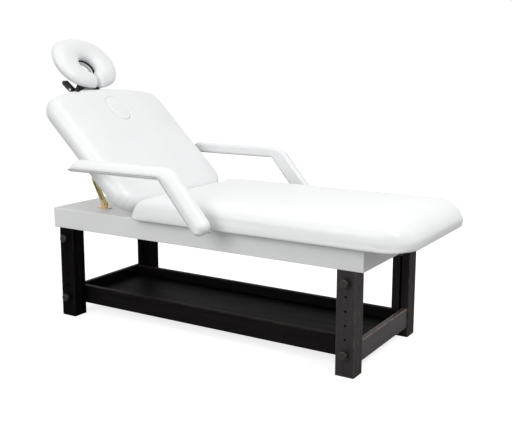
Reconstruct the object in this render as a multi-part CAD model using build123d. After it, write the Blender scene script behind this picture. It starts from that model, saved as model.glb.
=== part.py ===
from build123d import *
import os
from math import atan2, cos, degrees, hypot, radians, sin, sqrt

# Massage table with a lifting backrest, swing-over armrests, a face ring and a low shelf.
# X runs along the table with the foot end at +X, Y runs across it, and Z is up from the floor.
# The part is drawn from the middle of its bed box, then shifted so that its own middle is at X zero.

# Bed box
BOX_LENGTH = 1537.0
BOX_WIDTH = 616.0
BOX_TOP = 500.0
BOX_HEIGHT = 90.0
COVER_WALL = 2.0
RAIL_WALL = 18.0
DECK_WALL = 12.0
BOX_EDGE_RADIUS = 4.0
CROSS_RAIL_WIDTH = 40.0
CROSS_RAIL_HEIGHT = 60.0
CORNER_BLOCK_SIZE = 38.0
CORNER_BLOCK_HEIGHT = 58.0
FIXING_BOLT_RADIUS = 4.0
FIXING_BOLT_HEAD_RADIUS = 9.0
FIXING_BOLT_HEAD_HEIGHT = 4.0
FIXING_BOLT_DROP = 24.0
FIXING_BOLT_SPREAD = 38.0

# Legs, each a fixed inner board and a sliding outer board
LEG_WIDTH = 77.5
LEG_BOARD_WALL = 37.0
LEG_END_SETBACK = 31.5
LEG_EDGE_RADIUS = 3.0
SLIDE_GAP = 0.3
INNER_LEG_GAP = 6.0
LOWEST_HOLE = 89.0
HOLE_PITCH = 55.0
HOLE_COUNT = 6
STUD_RADIUS = 5.0
RUNNING_GAP = 0.05
SLOT_SIDE_GAP = 0.5
SLOT_FOOT_GAP = 3.0
NUT_SIZE = 20.0
NUT_WALL = 6.0
STUD_TAIL = 2.0

# Hand knobs
KNOB_RADIUS = 18.0
KNOB_HEIGHT = 18.0
KNOB_NECK_RADIUS = 12.0
KNOB_NECK_HEIGHT = 6.0
KNOB_EDGE_RADIUS = 5.0
KNOB_GRIP_RADIUS = 2.0
KNOB_GRIP_COUNT = 8

# Shelf between the inner leg boards
SHELF_BOTTOM = 42.5
SHELF_RAIL_HEIGHT = 82.5
SHELF_RAIL_WALL = 22.0
SHELF_END_SETBACK = 6.0
SHELF_SIDE_SETBACK = 13.5
SHELF_PANEL_WALL = 12.0
SHELF_PANEL_LIFT = 28.0
BATTEN_SIZE = 20.0
SHELF_EDGE_RADIUS = 2.5
SCREW_RADIUS = 2.5
SCREW_HEAD_RADIUS = 5.0
SCREW_HEAD_HEIGHT = 3.0
SCREW_BITE = 32.0
SCREW_INSET = 20.0

# Seat and leg pad
PAD_OVERHANG = 42.0
SEAT_HEAD_STEP = 22.0
SEAT_FOOT_OVERHANG = 192.5
SEAT_HEIGHT = 107.0
SEAT_FOOT_CORNER = 98.0
SEAT_HEAD_CORNER = 30.0
SEAT_BOARD_WALL = 15.0
SEAT_BOARD_INSET = 45.0
SEAT_SIDE_DRAW = 110.0
SEAT_LEVEL_SHARES = (0.0, 0.06, 0.16, 0.32, 0.5, 0.66, 0.8, 0.9, 0.965, 1.0)
SEAT_DRAW_SHARES = (0.12, 0.045, 0.01, 0.0, 0.03, 0.09, 0.2, 0.36, 0.62, 1.15)
SEAT_END_DRAW_SHARES = (0.12, 0.03, 0.02, 0.09, 0.22, 0.42, 0.62, 0.82, 1.08, 1.7)
CORNER_FLOOR = 7.0

# Backrest pad, hinged at the middle of its rounded lower end
BACK_TILT = 44.0
BACK_PIVOT_SETBACK = 454.5
BACK_HALF_THICKNESS = 51.7
BACK_LENGTH = 650.0
BACK_SIDE_STEP = 20.0
BACK_HEAD_ARCH = 1480.0
BACK_HEAD_CORNER = 92.0
BACK_FOOT_CORNER = 62.0
BACK_FOOT_REACH = 30.0
PAD_REST_GAP = 0.3
BACK_SIDE_SHARES = (-1.0, -0.96, -0.84, -0.64, -0.36, 0.0, 0.36, 0.62, 0.8)
BACK_CROWN_LEVEL_SHARES = (0.91, 0.97, 1.0)
BACK_CROWN_DRAW_SHARES = (0.62, 1.05, 1.9)
BACK_BOARD_BOTTOM = -4.0
BACK_BOARD_WALL = 12.0
BACK_BOARD_INSET = 24.0
BACK_BOARD_START = 40.0
BACK_RAIL_WALL = 20.0
BACK_RAIL_START = 60.0
BACK_RAIL_END_INSET = 95.0
BACK_RAIL_SIDE_INSET = 108.0
BACK_RAIL_FOOT_GAP = 4.0
BACK_RAIL_PLUG_GAP = 5.0

# Backrest hinges
HINGE_SIDE_INSET = 68.0
HINGE_PLATE_WALL = 5.0
HINGE_EAR_HALF_WIDTH = 12.0
HINGE_PIN_RADIUS = 6.0
HINGE_SIDE_GAP = 0.5
HINGE_BASE_LENGTH = 70.0
HINGE_BASE_WIDTH = 40.0
HINGE_POCKET_MARGIN = 2.0
HINGE_ARM_HALF_WIDTH = 13.0
HINGE_FLANGE_WALL = 4.0

# Face hole plug in the backrest
PLUG_INSET = 150.0
PLUG_LENGTH = 145.0
PLUG_WIDTH = 110.0
PLUG_GAP = 0.5
PLUG_BOARD_WALL = 9.0
PLUG_BOTTOM = -13.0
PLUG_TOP = 51.7
PLUG_EDGE_RADIUS = 7.0

# Folding support stays under the backrest
STAY_SIDE_STEP = 37.0
STAY_FOOT_STEP = 242.0
STAY_FOOT_RISE = 17.0
STAY_LOWER_LENGTH = 125.0
STAY_LEAN = 117.0
STAY_TOP_PLACE = 226.0
STAY_TOP_DROP = 18.0
STAY_PIN_RADIUS = 4.0
STAY_STRIP_HALF_WIDTH = 9.0
STAY_BAR_HALF_WIDTH = 8.0
STAY_TOP_EYE_RADIUS = 10.0
STAY_BAR_HALF_WALL = 5.0
STAY_STRIP_WALL = 3.0
STAY_SIDE_GAP = 0.5
STAY_PLAY = 4.7
STAY_EYE_WALL = 3.5
STAY_BASE_LENGTH = 66.0
STAY_BASE_WALL = 4.0
STAY_EAR_HALF_WIDTH = 11.0
STAY_TOOTH_SIZE = 5.0
STAY_TOOTH_COUNT = 6

# Armrests
ARM_SIDE_GAP = 40.0
ARM_WIDTH = 55.0
ARM_TIP_STEP = 217.0
ARM_BEND_STEP = 264.0
ARM_UNDERSIDE = 698.0
ARM_THICKNESS = 50.0
ARM_SLOPE = 50.0
ARM_SLOPE_WIDTH = 74.0
ARM_PIVOT_HEIGHT = 535.0
ARM_TIP_LOW_RADIUS = 14.0
ARM_TIP_HIGH_RADIUS = 34.0
ARM_BEND_RADIUS = 90.0
ARM_INNER_RADIUS = 4.0
ARM_END_RADIUS = 32.0
ARM_OUTER_EDGE_RADIUS = 14.0
ARM_INNER_EDGE_RADIUS = 6.0
ARM_CORE_WALL = 12.0
ARM_CORE_INSET = 12.0
ARM_PIN_RADIUS = 6.0
ARM_PIN_HEAD_RADIUS = 12.0
BRACKET_WALL = 5.0
BRACKET_WIDTH = 32.0
BRACKET_REACH_IN = 60.0
BRACKET_GAP = 15.0

# Face ring on its sliding rods
HEAD_STEP = 136.0
HEAD_LIFT = 57.0
HEAD_EXTRA_TILT = 6.3
RING_HALF_LENGTH = 143.0
RING_HALF_WIDTH = 183.5
RING_TUBE_RADIUS = 30.6
RING_END_RADIUS = 135.0
HOLE_HALF_LENGTH = 43.0
HOLE_HALF_WIDTH = 49.0
HOLE_SHIFT = 17.0
HOLE_FLARE = 36.0
RING_LEVEL_SHARES = (-1.0, -0.92, -0.7, -0.38, 0.0, 0.38, 0.7, 0.92, 1.0)
SLIT_WIDTH = 5.0
ROD_Y = 78.0
ROD_RADIUS = 6.0
ROD_DROP = 25.0
ROD_INSET = 160.0
SOCKET_RADIUS = 10.0
SOCKET_INSET = 165.0
SOCKET_END_INSET = 8.0
CROSSBAR_STEP = 50.0
CROSSBAR_RADIUS = 7.0
PLATFORM_WALL = 7.0
PLATFORM_REST_GAP = 0.3
PLATFORM_HALF_LENGTH = 120.0
PLATFORM_HALF_WIDTH = 142.0
PLATFORM_END_RADIUS = 100.0
PLATFORM_HOLE_GAP = 5.0
PLATFORM_MOUTH = 70.0
PLATFORM_EAR_Y = 56.0
PLATFORM_EAR_WALL = 6.0
PLATFORM_EAR_LENGTH = 46.0
PLATFORM_EYE_RADIUS = 13.0
LEVER_LENGTH = 48.0
LEVER_WIDTH = 22.0
LEVER_HALF_HEIGHT = 11.0
LEVER_GAP = 3.0
LEVER_TAIL = 1.0
LEVER_DROP_ANGLE = 6.0

# The round ends of an oval stay this much tighter than its narrow half
OVAL_END_SHARE = 0.94

# One overrun serves every cut that has to pass through a face
OVERRUN = 10.0

# Places worked out from the sizes above
DECK_TOP = BOX_TOP - COVER_WALL
DECK_BOTTOM = DECK_TOP - DECK_WALL
BOX_BOTTOM = BOX_TOP - BOX_HEIGHT
RAIL_OUTER_X = BOX_LENGTH / 2 - COVER_WALL
RAIL_OUTER_Y = BOX_WIDTH / 2 - COVER_WALL
LEG_OUTER_X = BOX_LENGTH / 2 - LEG_END_SETBACK
LEG_INNER_X = LEG_OUTER_X - LEG_WIDTH
LEG_MIDDLE_X = LEG_OUTER_X - LEG_WIDTH / 2
OUTER_BOARD_INNER_Y = RAIL_OUTER_Y - LEG_BOARD_WALL + SLIDE_GAP
INNER_BOARD_OUTER_Y = OUTER_BOARD_INNER_Y - SLIDE_GAP
INNER_BOARD_INNER_Y = INNER_BOARD_OUTER_Y - LEG_BOARD_WALL
INNER_BOARD_TOP = BOX_BOTTOM - INNER_LEG_GAP
HOLE_HEIGHTS = [LOWEST_HOLE + HOLE_PITCH * step for step in range(HOLE_COUNT)]
KNOB_HEIGHTS = {"lower": HOLE_HEIGHTS[0], "upper": HOLE_HEIGHTS[-1]}
NUT_INNER_Y = INNER_BOARD_INNER_Y - SLIDE_GAP - NUT_WALL
BACK_PIVOT_Z = BOX_TOP + BACK_HALF_THICKNESS + PAD_REST_GAP
STAY_FOOT_Z = BOX_TOP + STAY_FOOT_RISE

# Widths follow the box, and places along the table follow the backrest's pivot
PAD_WIDTH = BOX_WIDTH + 2 * PAD_OVERHANG
BACK_WIDTH = PAD_WIDTH + 2 * BACK_SIDE_STEP
BACK_PIVOT_X = BACK_PIVOT_SETBACK - BOX_LENGTH / 2
SEAT_HEAD_X = BACK_PIVOT_X + SEAT_HEAD_STEP
SEAT_FOOT_X = BOX_LENGTH / 2 + SEAT_FOOT_OVERHANG
HINGE_Y = BOX_WIDTH / 2 - HINGE_SIDE_INSET
STAY_Y = HINGE_Y - STAY_SIDE_STEP
STAY_FOOT_X = BACK_PIVOT_X - STAY_FOOT_STEP
ARM_INNER_Y = BACK_WIDTH / 2 + ARM_SIDE_GAP
ARM_TIP_X = BACK_PIVOT_X - ARM_TIP_STEP
ARM_BEND_X = BACK_PIVOT_X + ARM_BEND_STEP

# Places along the backrest follow its length
BACK_RAIL_END = BACK_LENGTH - BACK_RAIL_END_INSET
BACK_RAIL_HALF_WIDTH = BACK_WIDTH / 2 - BACK_RAIL_SIDE_INSET
PLUG_PLACE = BACK_LENGTH - PLUG_INSET
ROD_START = BACK_LENGTH - ROD_INSET
SOCKET_START = BACK_LENGTH - SOCKET_INSET
CROSSBAR_PLACE = BACK_LENGTH + CROSSBAR_STEP
HEAD_PLACE = BACK_LENGTH + HEAD_STEP

CORNERS = {
    "front_head": (-1, -1),
    "front_foot": (1, -1),
    "rear_head": (-1, 1),
    "rear_foot": (1, 1),
}
SIDES = {"front": -1, "rear": 1}

parts = {}


def block(x0, x1, y0, y1, z0, z1):
    """A box between two corners, given in any order."""
    size = (abs(x1 - x0), abs(y1 - y0), abs(z1 - z0))
    return Pos((x0 + x1) / 2, (y0 + y1) / 2, (z0 + z1) / 2) * Box(*size)


def bar_along_y(x, z, radius, y0, y1):
    """A round bar that runs across the table."""
    return Pos(x, (y0 + y1) / 2, z) * Rot(90, 0, 0) * Cylinder(radius, abs(y1 - y0))


def bar_along_x(y, z, radius, x0, x1):
    """A round bar that runs along the table."""
    return Pos((x0 + x1) / 2, y, z) * Rot(0, 90, 0) * Cylinder(radius, abs(x1 - x0))


def side_plate(points, y0, y1, radius=None):
    """A plate drawn as an outline in X and Z, with Y as its wall."""
    low, high = min(y0, y1), max(y0, y1)
    corners = [(x, low, z) for x, z in points]
    if radius is None:
        outline = Polyline(corners, close=True)
    else:
        outline = FilletPolyline(corners, radius=radius, close=True)
    return extrude(make_face(outline), amount=high - low, dir=(0, 1, 0))


def link(start, end, half_width, y0, y1):
    """A flat bar with round ends between two pivots in X and Z."""
    run_x, run_z = end[0] - start[0], end[1] - start[1]
    middle = Pos((start[0] + end[0]) / 2, (y0 + y1) / 2, (start[1] + end[1]) / 2)
    turn = Rot(0, -degrees(atan2(run_z, run_x)), 0)
    body = middle * turn * Box(hypot(run_x, run_z), abs(y1 - y0), 2 * half_width)
    for x, z in (start, end):
        body = body + bar_along_y(x, z, half_width, y0, y1)
    return body


def slab_outline(x0, x1, half_width, corner_low, corner_high, z):
    """A flat face with two pairs of round corners, at the X ends x0 and x1."""
    lines = Curve() + [
        Line((x0 + corner_low, -half_width, z), (x1 - corner_high, -half_width, z)),
        RadiusArc((x1 - corner_high, -half_width, z), (x1, -half_width + corner_high, z), -corner_high),
        Line((x1, -half_width + corner_high, z), (x1, half_width - corner_high, z)),
        RadiusArc((x1, half_width - corner_high, z), (x1 - corner_high, half_width, z), -corner_high),
        Line((x1 - corner_high, half_width, z), (x0 + corner_low, half_width, z)),
        RadiusArc((x0 + corner_low, half_width, z), (x0, half_width - corner_low, z), -corner_low),
        Line((x0, half_width - corner_low, z), (x0, -half_width + corner_low, z)),
        RadiusArc((x0, -half_width + corner_low, z), (x0 + corner_low, -half_width, z), -corner_low),
    ]
    return make_face(lines)


def oval_outline(half_length, half_width, end_radius, z, shift=0):
    """A flat oval of four tangent arcs. Its long or short way may lie along X."""
    swap = half_length < half_width
    long_half, short_half = max(half_length, half_width), min(half_length, half_width)
    small = min(end_radius, short_half * OVAL_END_SHARE)
    reach = long_half - small
    big = (reach ** 2 + short_half ** 2 - small ** 2) / (2 * (short_half - small))
    turn = atan2(big - short_half, reach)
    join_x = reach + small * cos(turn)
    join_y = small * sin(turn)
    corners = [(join_x, join_y), (-join_x, join_y), (-join_x, -join_y), (join_x, -join_y)]
    middles = [(0, short_half), (-long_half, 0), (0, -short_half), (long_half, 0)]
    arcs = Curve()
    for index, middle in enumerate(middles):
        ends = [corners[index], middle, corners[(index + 1) % len(corners)]]
        if swap:
            ends = [(y, x) for x, y in ends]
        arcs += ThreePointArc(*[(x + shift, y, z) for x, y in ends])
    return make_face(arcs)


def corner_inside(corner, inset):
    """The corner radius that is left when an outline is drawn in."""
    return max(corner - inset, CORNER_FLOOR)


def round_draw(share):
    """How far a half-round edge draws in, as a share of its radius, at a share of that radius up."""
    return 1 - sqrt(1 - share ** 2)


# Placing frames: the backrest frame has its pivot as origin, and the ring frame sits on the backrest
BACK_FRAME = Location((BACK_PIVOT_X, 0, BACK_PIVOT_Z), (0, BACK_TILT, 0))
RING_FRAME = BACK_FRAME * Location((-HEAD_PLACE, 0, HEAD_LIFT), (0, HEAD_EXTRA_TILT, 0))


# Bed box
def make_box_cover():
    outer = block(-BOX_LENGTH / 2, BOX_LENGTH / 2, -BOX_WIDTH / 2, BOX_WIDTH / 2, BOX_BOTTOM, BOX_TOP)
    outer = fillet(outer.edges().filter_by(Axis.Z), BOX_EDGE_RADIUS)
    outer = fillet(outer.faces().sort_by(Axis.Z)[-1].edges(), BOX_EDGE_RADIUS / 2)
    inner = block(-RAIL_OUTER_X, RAIL_OUTER_X, -RAIL_OUTER_Y, RAIL_OUTER_Y, BOX_BOTTOM - OVERRUN, DECK_TOP)
    return outer - inner - hinge_base_recesses()


def hinge_base_recesses():
    recesses = Part()
    for side in SIDES.values():
        recesses += hinge_base(side)
    return recesses


def hinge_base(side):
    """The flush plate of one hinge, let into the deck."""
    half_length, half_width = HINGE_BASE_LENGTH / 2, HINGE_BASE_WIDTH / 2
    middle_y = side * HINGE_Y
    return block(
        BACK_PIVOT_X - half_length, BACK_PIVOT_X + half_length,
        middle_y - half_width, middle_y + half_width,
        BOX_TOP - HINGE_PLATE_WALL, BOX_TOP,
    )


def bolt_places():
    """X and Z of the bolts that hold each outer board to its side rail."""
    height = DECK_BOTTOM - FIXING_BOLT_DROP
    places = []
    for end in (-1, 1):
        for step in (-1, 1):
            places.append((end * LEG_MIDDLE_X + step * FIXING_BOLT_SPREAD / 2, height))
    return places


def leg_bolts_on(side):
    bolts = []
    for x, z in bolt_places():
        inner_y = OUTER_BOARD_INNER_Y
        head_y = inner_y - FIXING_BOLT_HEAD_HEIGHT
        shank = bar_along_y(x, z, FIXING_BOLT_RADIUS, side * head_y, side * RAIL_OUTER_Y)
        bolts.append(shank + bar_along_y(x, z, FIXING_BOLT_HEAD_RADIUS, side * head_y, side * inner_y))
    return bolts


def make_side_rail(side):
    inner_y = RAIL_OUTER_Y - RAIL_WALL
    rail = block(-RAIL_OUTER_X, RAIL_OUTER_X, side * inner_y, side * RAIL_OUTER_Y, BOX_BOTTOM, DECK_BOTTOM)
    for bolt in leg_bolts_on(side):
        rail -= bolt
    return rail


def make_end_rail(end):
    inner_x = RAIL_OUTER_X - RAIL_WALL
    half_width = RAIL_OUTER_Y - RAIL_WALL
    return block(end * inner_x, end * RAIL_OUTER_X, -half_width, half_width, BOX_BOTTOM, DECK_BOTTOM)


def make_cross_rails():
    """Rails under the deck, below the backrest hinge, the stay feet and the seat."""
    half_width = RAIL_OUTER_Y - RAIL_WALL
    places = (BACK_PIVOT_X, STAY_FOOT_X, (LEG_INNER_X + BACK_PIVOT_X) / 2)
    rails = []
    for x in places:
        x0, x1 = x - CROSS_RAIL_WIDTH / 2, x + CROSS_RAIL_WIDTH / 2
        rails.append(block(x0, x1, -half_width, half_width, DECK_BOTTOM - CROSS_RAIL_HEIGHT, DECK_BOTTOM))
    return Compound(children=rails)


def make_corner_blocks():
    blocks = []
    outer_y = RAIL_OUTER_Y - RAIL_WALL
    for end, side in CORNERS.values():
        x0, x1 = end * (LEG_INNER_X - CORNER_BLOCK_SIZE), end * LEG_INNER_X
        y0, y1 = side * (outer_y - CORNER_BLOCK_SIZE), side * outer_y
        blocks.append(block(x0, x1, y0, y1, DECK_BOTTOM - CORNER_BLOCK_HEIGHT, DECK_BOTTOM))
    return Compound(children=blocks)


def make_deck():
    deck = block(-RAIL_OUTER_X, RAIL_OUTER_X, -RAIL_OUTER_Y, RAIL_OUTER_Y, DECK_BOTTOM, DECK_TOP)
    return deck - hinge_base_recesses()


# Legs
def make_outer_leg(end, side):
    """The sliding board, with its row of holes and a thinner tongue behind the side rail."""
    x0, x1 = end * LEG_INNER_X, end * LEG_OUTER_X
    y0, y1 = side * OUTER_BOARD_INNER_Y, side * RAIL_OUTER_Y
    board = block(x0, x1, y0, y1, 0, BOX_BOTTOM)
    board = fillet(board.edges().filter_by(Axis.Z), LEG_EDGE_RADIUS)
    tongue = block(x0, x1, y0, side * (RAIL_OUTER_Y - RAIL_WALL), BOX_BOTTOM, DECK_BOTTOM)
    board = board + tongue
    for height in HOLE_HEIGHTS:
        board -= bar_along_y(
            end * LEG_MIDDLE_X, height, STUD_RADIUS + RUNNING_GAP,
            side * (OUTER_BOARD_INNER_Y - OVERRUN), side * (RAIL_OUTER_Y + OVERRUN),
        )
    for bolt in leg_bolts_on(side):
        board -= bolt
    return board


def make_inner_leg(end, side):
    """The fixed board. A slot lets the clamping studs ride up with the bed."""
    x0, x1 = end * LEG_INNER_X, end * LEG_OUTER_X
    y0, y1 = side * INNER_BOARD_INNER_Y, side * INNER_BOARD_OUTER_Y
    board = block(x0, x1, y0, y1, 0, INNER_BOARD_TOP)
    board = fillet(board.edges().filter_by(Axis.Z), LEG_EDGE_RADIUS)
    half_slot = STUD_RADIUS + SLOT_SIDE_GAP
    middle_x = end * LEG_MIDDLE_X
    board -= block(middle_x - half_slot, middle_x + half_slot,
                   side * (INNER_BOARD_INNER_Y - OVERRUN), side * (INNER_BOARD_OUTER_Y + OVERRUN),
                   LOWEST_HOLE - STUD_RADIUS - SLOT_FOOT_GAP, INNER_BOARD_TOP + OVERRUN)
    for screw in shelf_screws_at(end, side):
        board -= screw
    return board


def make_clamp_nuts():
    """Square nuts on the studs, inside the inner boards."""
    nuts = []
    for end, side in CORNERS.values():
        for height in KNOB_HEIGHTS.values():
            x, half = end * LEG_MIDDLE_X, NUT_SIZE / 2
            y0, y1 = side * NUT_INNER_Y, side * (NUT_INNER_Y + NUT_WALL)
            nut = block(x - half, x + half, y0, y1, height - half, height + half)
            hole = bar_along_y(x, height, STUD_RADIUS + RUNNING_GAP,
                               side * (NUT_INNER_Y - OVERRUN), side * (NUT_INNER_Y + OVERRUN))
            nuts.append(nut - hole)
    return Compound(children=nuts)


def make_knob(end, side, height):
    """A hand knob with finger grips, and its threaded stud through both boards."""
    x = end * LEG_MIDDLE_X
    face = RAIL_OUTER_Y + SLIDE_GAP
    neck_top = face + KNOB_NECK_HEIGHT
    head_top = neck_top + KNOB_HEIGHT
    head = bar_along_y(x, height, KNOB_RADIUS, side * neck_top, side * head_top)
    head = fillet(head.edges().filter_by(GeomType.CIRCLE), KNOB_EDGE_RADIUS)
    for step in range(KNOB_GRIP_COUNT):
        angle = radians(360 * step / KNOB_GRIP_COUNT)
        grip_x, grip_z = x + KNOB_RADIUS * cos(angle), height + KNOB_RADIUS * sin(angle)
        head -= bar_along_y(grip_x, grip_z, KNOB_GRIP_RADIUS,
                            side * (neck_top - OVERRUN), side * (head_top + OVERRUN))
    head += bar_along_y(x, height, KNOB_NECK_RADIUS, side * face, side * (neck_top + KNOB_HEIGHT / 2))
    stud = bar_along_y(x, height, STUD_RADIUS, side * (NUT_INNER_Y - STUD_TAIL), side * (face + KNOB_NECK_HEIGHT))
    return Compound(children=[head - stud, stud])


# Shelf
def shelf_screws_at(end, side):
    """Screws through an inner board into the end rail, sunk in the board's outer face."""
    x = end * (LEG_OUTER_X - SHELF_END_SETBACK - SHELF_RAIL_WALL / 2)
    heights = (SHELF_BOTTOM + SCREW_INSET, SHELF_BOTTOM + SHELF_RAIL_HEIGHT - SCREW_INSET)
    screws = []
    for z in heights:
        tip_y, top_y = INNER_BOARD_INNER_Y - SCREW_BITE, INNER_BOARD_OUTER_Y
        shank = bar_along_y(x, z, SCREW_RADIUS, side * tip_y, side * top_y)
        head = bar_along_y(x, z, SCREW_HEAD_RADIUS, side * (top_y - SCREW_HEAD_HEIGHT), side * top_y)
        screws.append(shank + head)
    return screws


def make_shelf_end_rail(end):
    outer_x = LEG_OUTER_X - SHELF_END_SETBACK
    rail = block(end * (outer_x - SHELF_RAIL_WALL), end * outer_x,
                 -INNER_BOARD_INNER_Y, INNER_BOARD_INNER_Y,
                 SHELF_BOTTOM, SHELF_BOTTOM + SHELF_RAIL_HEIGHT)
    rail = fillet(rail.edges().filter_by(Axis.Y), SHELF_EDGE_RADIUS)
    for side in SIDES.values():
        for screw in shelf_screws_at(end, side):
            rail -= screw
    return rail


def shelf_side_span():
    """Half length and outer face of the long shelf rails."""
    half_length = LEG_OUTER_X - SHELF_END_SETBACK - SHELF_RAIL_WALL
    return half_length, INNER_BOARD_INNER_Y - SHELF_SIDE_SETBACK


def make_shelf_side_rail(side):
    half_length, outer_y = shelf_side_span()
    rail = block(-half_length, half_length, side * (outer_y - SHELF_RAIL_WALL), side * outer_y,
                 SHELF_BOTTOM, SHELF_BOTTOM + SHELF_RAIL_HEIGHT)
    return fillet(rail.edges().filter_by(Axis.X), SHELF_EDGE_RADIUS)


def make_shelf_panel():
    half_length, outer_y = shelf_side_span()
    half_width = outer_y - SHELF_RAIL_WALL
    bottom = SHELF_BOTTOM + SHELF_PANEL_LIFT
    return block(-half_length, half_length, -half_width, half_width, bottom, bottom + SHELF_PANEL_WALL)


def make_shelf_battens():
    half_length, outer_y = shelf_side_span()
    inner_y = outer_y - SHELF_RAIL_WALL
    top = SHELF_BOTTOM + SHELF_PANEL_LIFT
    battens = []
    for side in SIDES.values():
        battens.append(block(-half_length, half_length, side * (inner_y - BATTEN_SIZE), side * inner_y,
                             top - BATTEN_SIZE, top))
    return Compound(children=battens)


# Seat and leg pad
def seat_board_solid():
    inset = SEAT_BOARD_INSET
    face = slab_outline(SEAT_HEAD_X + inset, SEAT_FOOT_X - inset, PAD_WIDTH / 2 - inset,
                        corner_inside(SEAT_HEAD_CORNER, inset), corner_inside(SEAT_FOOT_CORNER, inset), BOX_TOP)
    return extrude(face, amount=SEAT_BOARD_WALL, dir=(0, 0, 1))


def make_seat_board():
    board = seat_board_solid()
    for side in SIDES.values():
        board -= bracket_foot(side)
    return board


def make_seat_cushion():
    """A pad that draws in towards the bottom and rolls over into a low crown, with rounder ends."""
    sections = []
    for level, draw, end_draw in zip(SEAT_LEVEL_SHARES, SEAT_DRAW_SHARES, SEAT_END_DRAW_SHARES):
        inset, end_inset = draw * SEAT_SIDE_DRAW, end_draw * SEAT_SIDE_DRAW
        sections.append(slab_outline(
            SEAT_HEAD_X + end_inset, SEAT_FOOT_X - end_inset, PAD_WIDTH / 2 - inset,
            corner_inside(SEAT_HEAD_CORNER, inset), corner_inside(SEAT_FOOT_CORNER, inset),
            BOX_TOP + level * SEAT_HEIGHT))
    pad = loft(sections, ruled=True)
    pad -= seat_board_solid()
    for side in SIDES.values():
        pad -= bracket_foot(side)
    return pad


# Backrest, drawn lying flat with its pivot at the origin and its head end towards -X
def back_outline(inset, z):
    """A square foot end and an arched head end, drawn in all round."""
    half_width, x1 = BACK_WIDTH / 2 - inset, BACK_FOOT_REACH - inset
    head, foot = corner_inside(BACK_HEAD_CORNER, inset), corner_inside(BACK_FOOT_CORNER, inset)
    arch = BACK_HEAD_ARCH - inset
    arch_x = BACK_HEAD_ARCH - BACK_LENGTH
    corner_y = half_width - head
    corner_x = arch_x - sqrt((arch - head) ** 2 - corner_y ** 2)
    turn = atan2(corner_y, arch_x - corner_x)
    halfway = (radians(90) + turn) / 2
    join = (corner_x - head * cos(turn), corner_y + head * sin(turn))
    bulge = (corner_x - head * cos(halfway), corner_y + head * sin(halfway))
    lines = Curve() + [
        Line((corner_x, -half_width, z), (x1 - foot, -half_width, z)),
        RadiusArc((x1 - foot, -half_width, z), (x1, -half_width + foot, z), -foot),
        Line((x1, -half_width + foot, z), (x1, half_width - foot, z)),
        RadiusArc((x1, half_width - foot, z), (x1 - foot, half_width, z), -foot),
        Line((x1 - foot, half_width, z), (corner_x, half_width, z)),
        ThreePointArc((corner_x, half_width, z), (*bulge, z), (*join, z)),
        ThreePointArc((*join, z), (inset - BACK_LENGTH, 0, z), (join[0], -join[1], z)),
        ThreePointArc((join[0], -join[1], z), (bulge[0], -bulge[1], z), (corner_x, -half_width, z)),
    ]
    return make_face(lines)


def back_pad_solid():
    """Half-round sides all round, under a low crown."""
    rings = [(share, round_draw(share)) for share in BACK_SIDE_SHARES]
    rings += zip(BACK_CROWN_LEVEL_SHARES, BACK_CROWN_DRAW_SHARES)
    sections = []
    for level, draw in rings:
        sections.append(back_outline(draw * BACK_HALF_THICKNESS, level * BACK_HALF_THICKNESS))
    return loft(sections, ruled=True)


def back_board_solid():
    board = extrude(back_outline(BACK_BOARD_INSET, BACK_BOARD_BOTTOM), amount=BACK_BOARD_WALL, dir=(0, 0, 1))
    return board - block(-BACK_BOARD_START, BACK_HALF_THICKNESS, -BACK_WIDTH, BACK_WIDTH,
                         BACK_BOARD_BOTTOM - OVERRUN, BACK_BOARD_BOTTOM + BACK_BOARD_WALL + OVERRUN)


def plug_hole():
    face = oval_outline(PLUG_LENGTH / 2 + PLUG_GAP, PLUG_WIDTH / 2 + PLUG_GAP,
                        PLUG_WIDTH / 2, -BACK_HALF_THICKNESS - OVERRUN, -PLUG_PLACE)
    return extrude(face, amount=2 * (BACK_HALF_THICKNESS + OVERRUN), dir=(0, 0, 1))


def rail_span_bottom():
    return -BACK_HALF_THICKNESS + BACK_RAIL_FOOT_GAP


def back_tray_space():
    """The hollow under the board, which the rails line and the stays fold into."""
    return block(-BACK_RAIL_END, -BACK_RAIL_START, -BACK_RAIL_HALF_WIDTH, BACK_RAIL_HALF_WIDTH,
                 -BACK_HALF_THICKNESS - OVERRUN, BACK_BOARD_BOTTOM)


def hinge_pocket(side):
    """Room in the lower end for one hinge: its eye, its arm and the ear's sweep."""
    half = HINGE_PLATE_WALL * 3 / 2 + HINGE_SIDE_GAP + HINGE_POCKET_MARGIN
    y0, y1 = side * HINGE_Y - half, side * HINGE_Y + half
    eye = HINGE_ARM_HALF_WIDTH + HINGE_POCKET_MARGIN
    reach = BACK_HALF_THICKNESS + OVERRUN
    pocket = bar_along_y(0, 0, eye, y0, y1)
    pocket += block(-BACK_RAIL_START, 0, y0, y1, -reach, eye)
    for angle in (0, BACK_TILT / 2, BACK_TILT):
        sweep = Rot(0, -angle, 0) * block(-eye, eye, y0, y1, -reach, 0)
        pocket += sweep
    return pocket


def rod_bore(side, radius, start, end):
    return bar_along_x(side * ROD_Y, -ROD_DROP, radius, -start, -end)


def make_back_cushion():
    pad = back_pad_solid() - back_board_solid() - back_tray_space() - plug_hole()
    for side in SIDES.values():
        pad -= hinge_pocket(side)
        pad -= rod_bore(side, SOCKET_RADIUS, SOCKET_START, BACK_LENGTH + OVERRUN)
    return BACK_FRAME * pad


def make_back_board():
    board = back_board_solid() - plug_hole()
    for side in SIDES.values():
        board -= hinge_pocket(side)
    return BACK_FRAME * board


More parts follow.
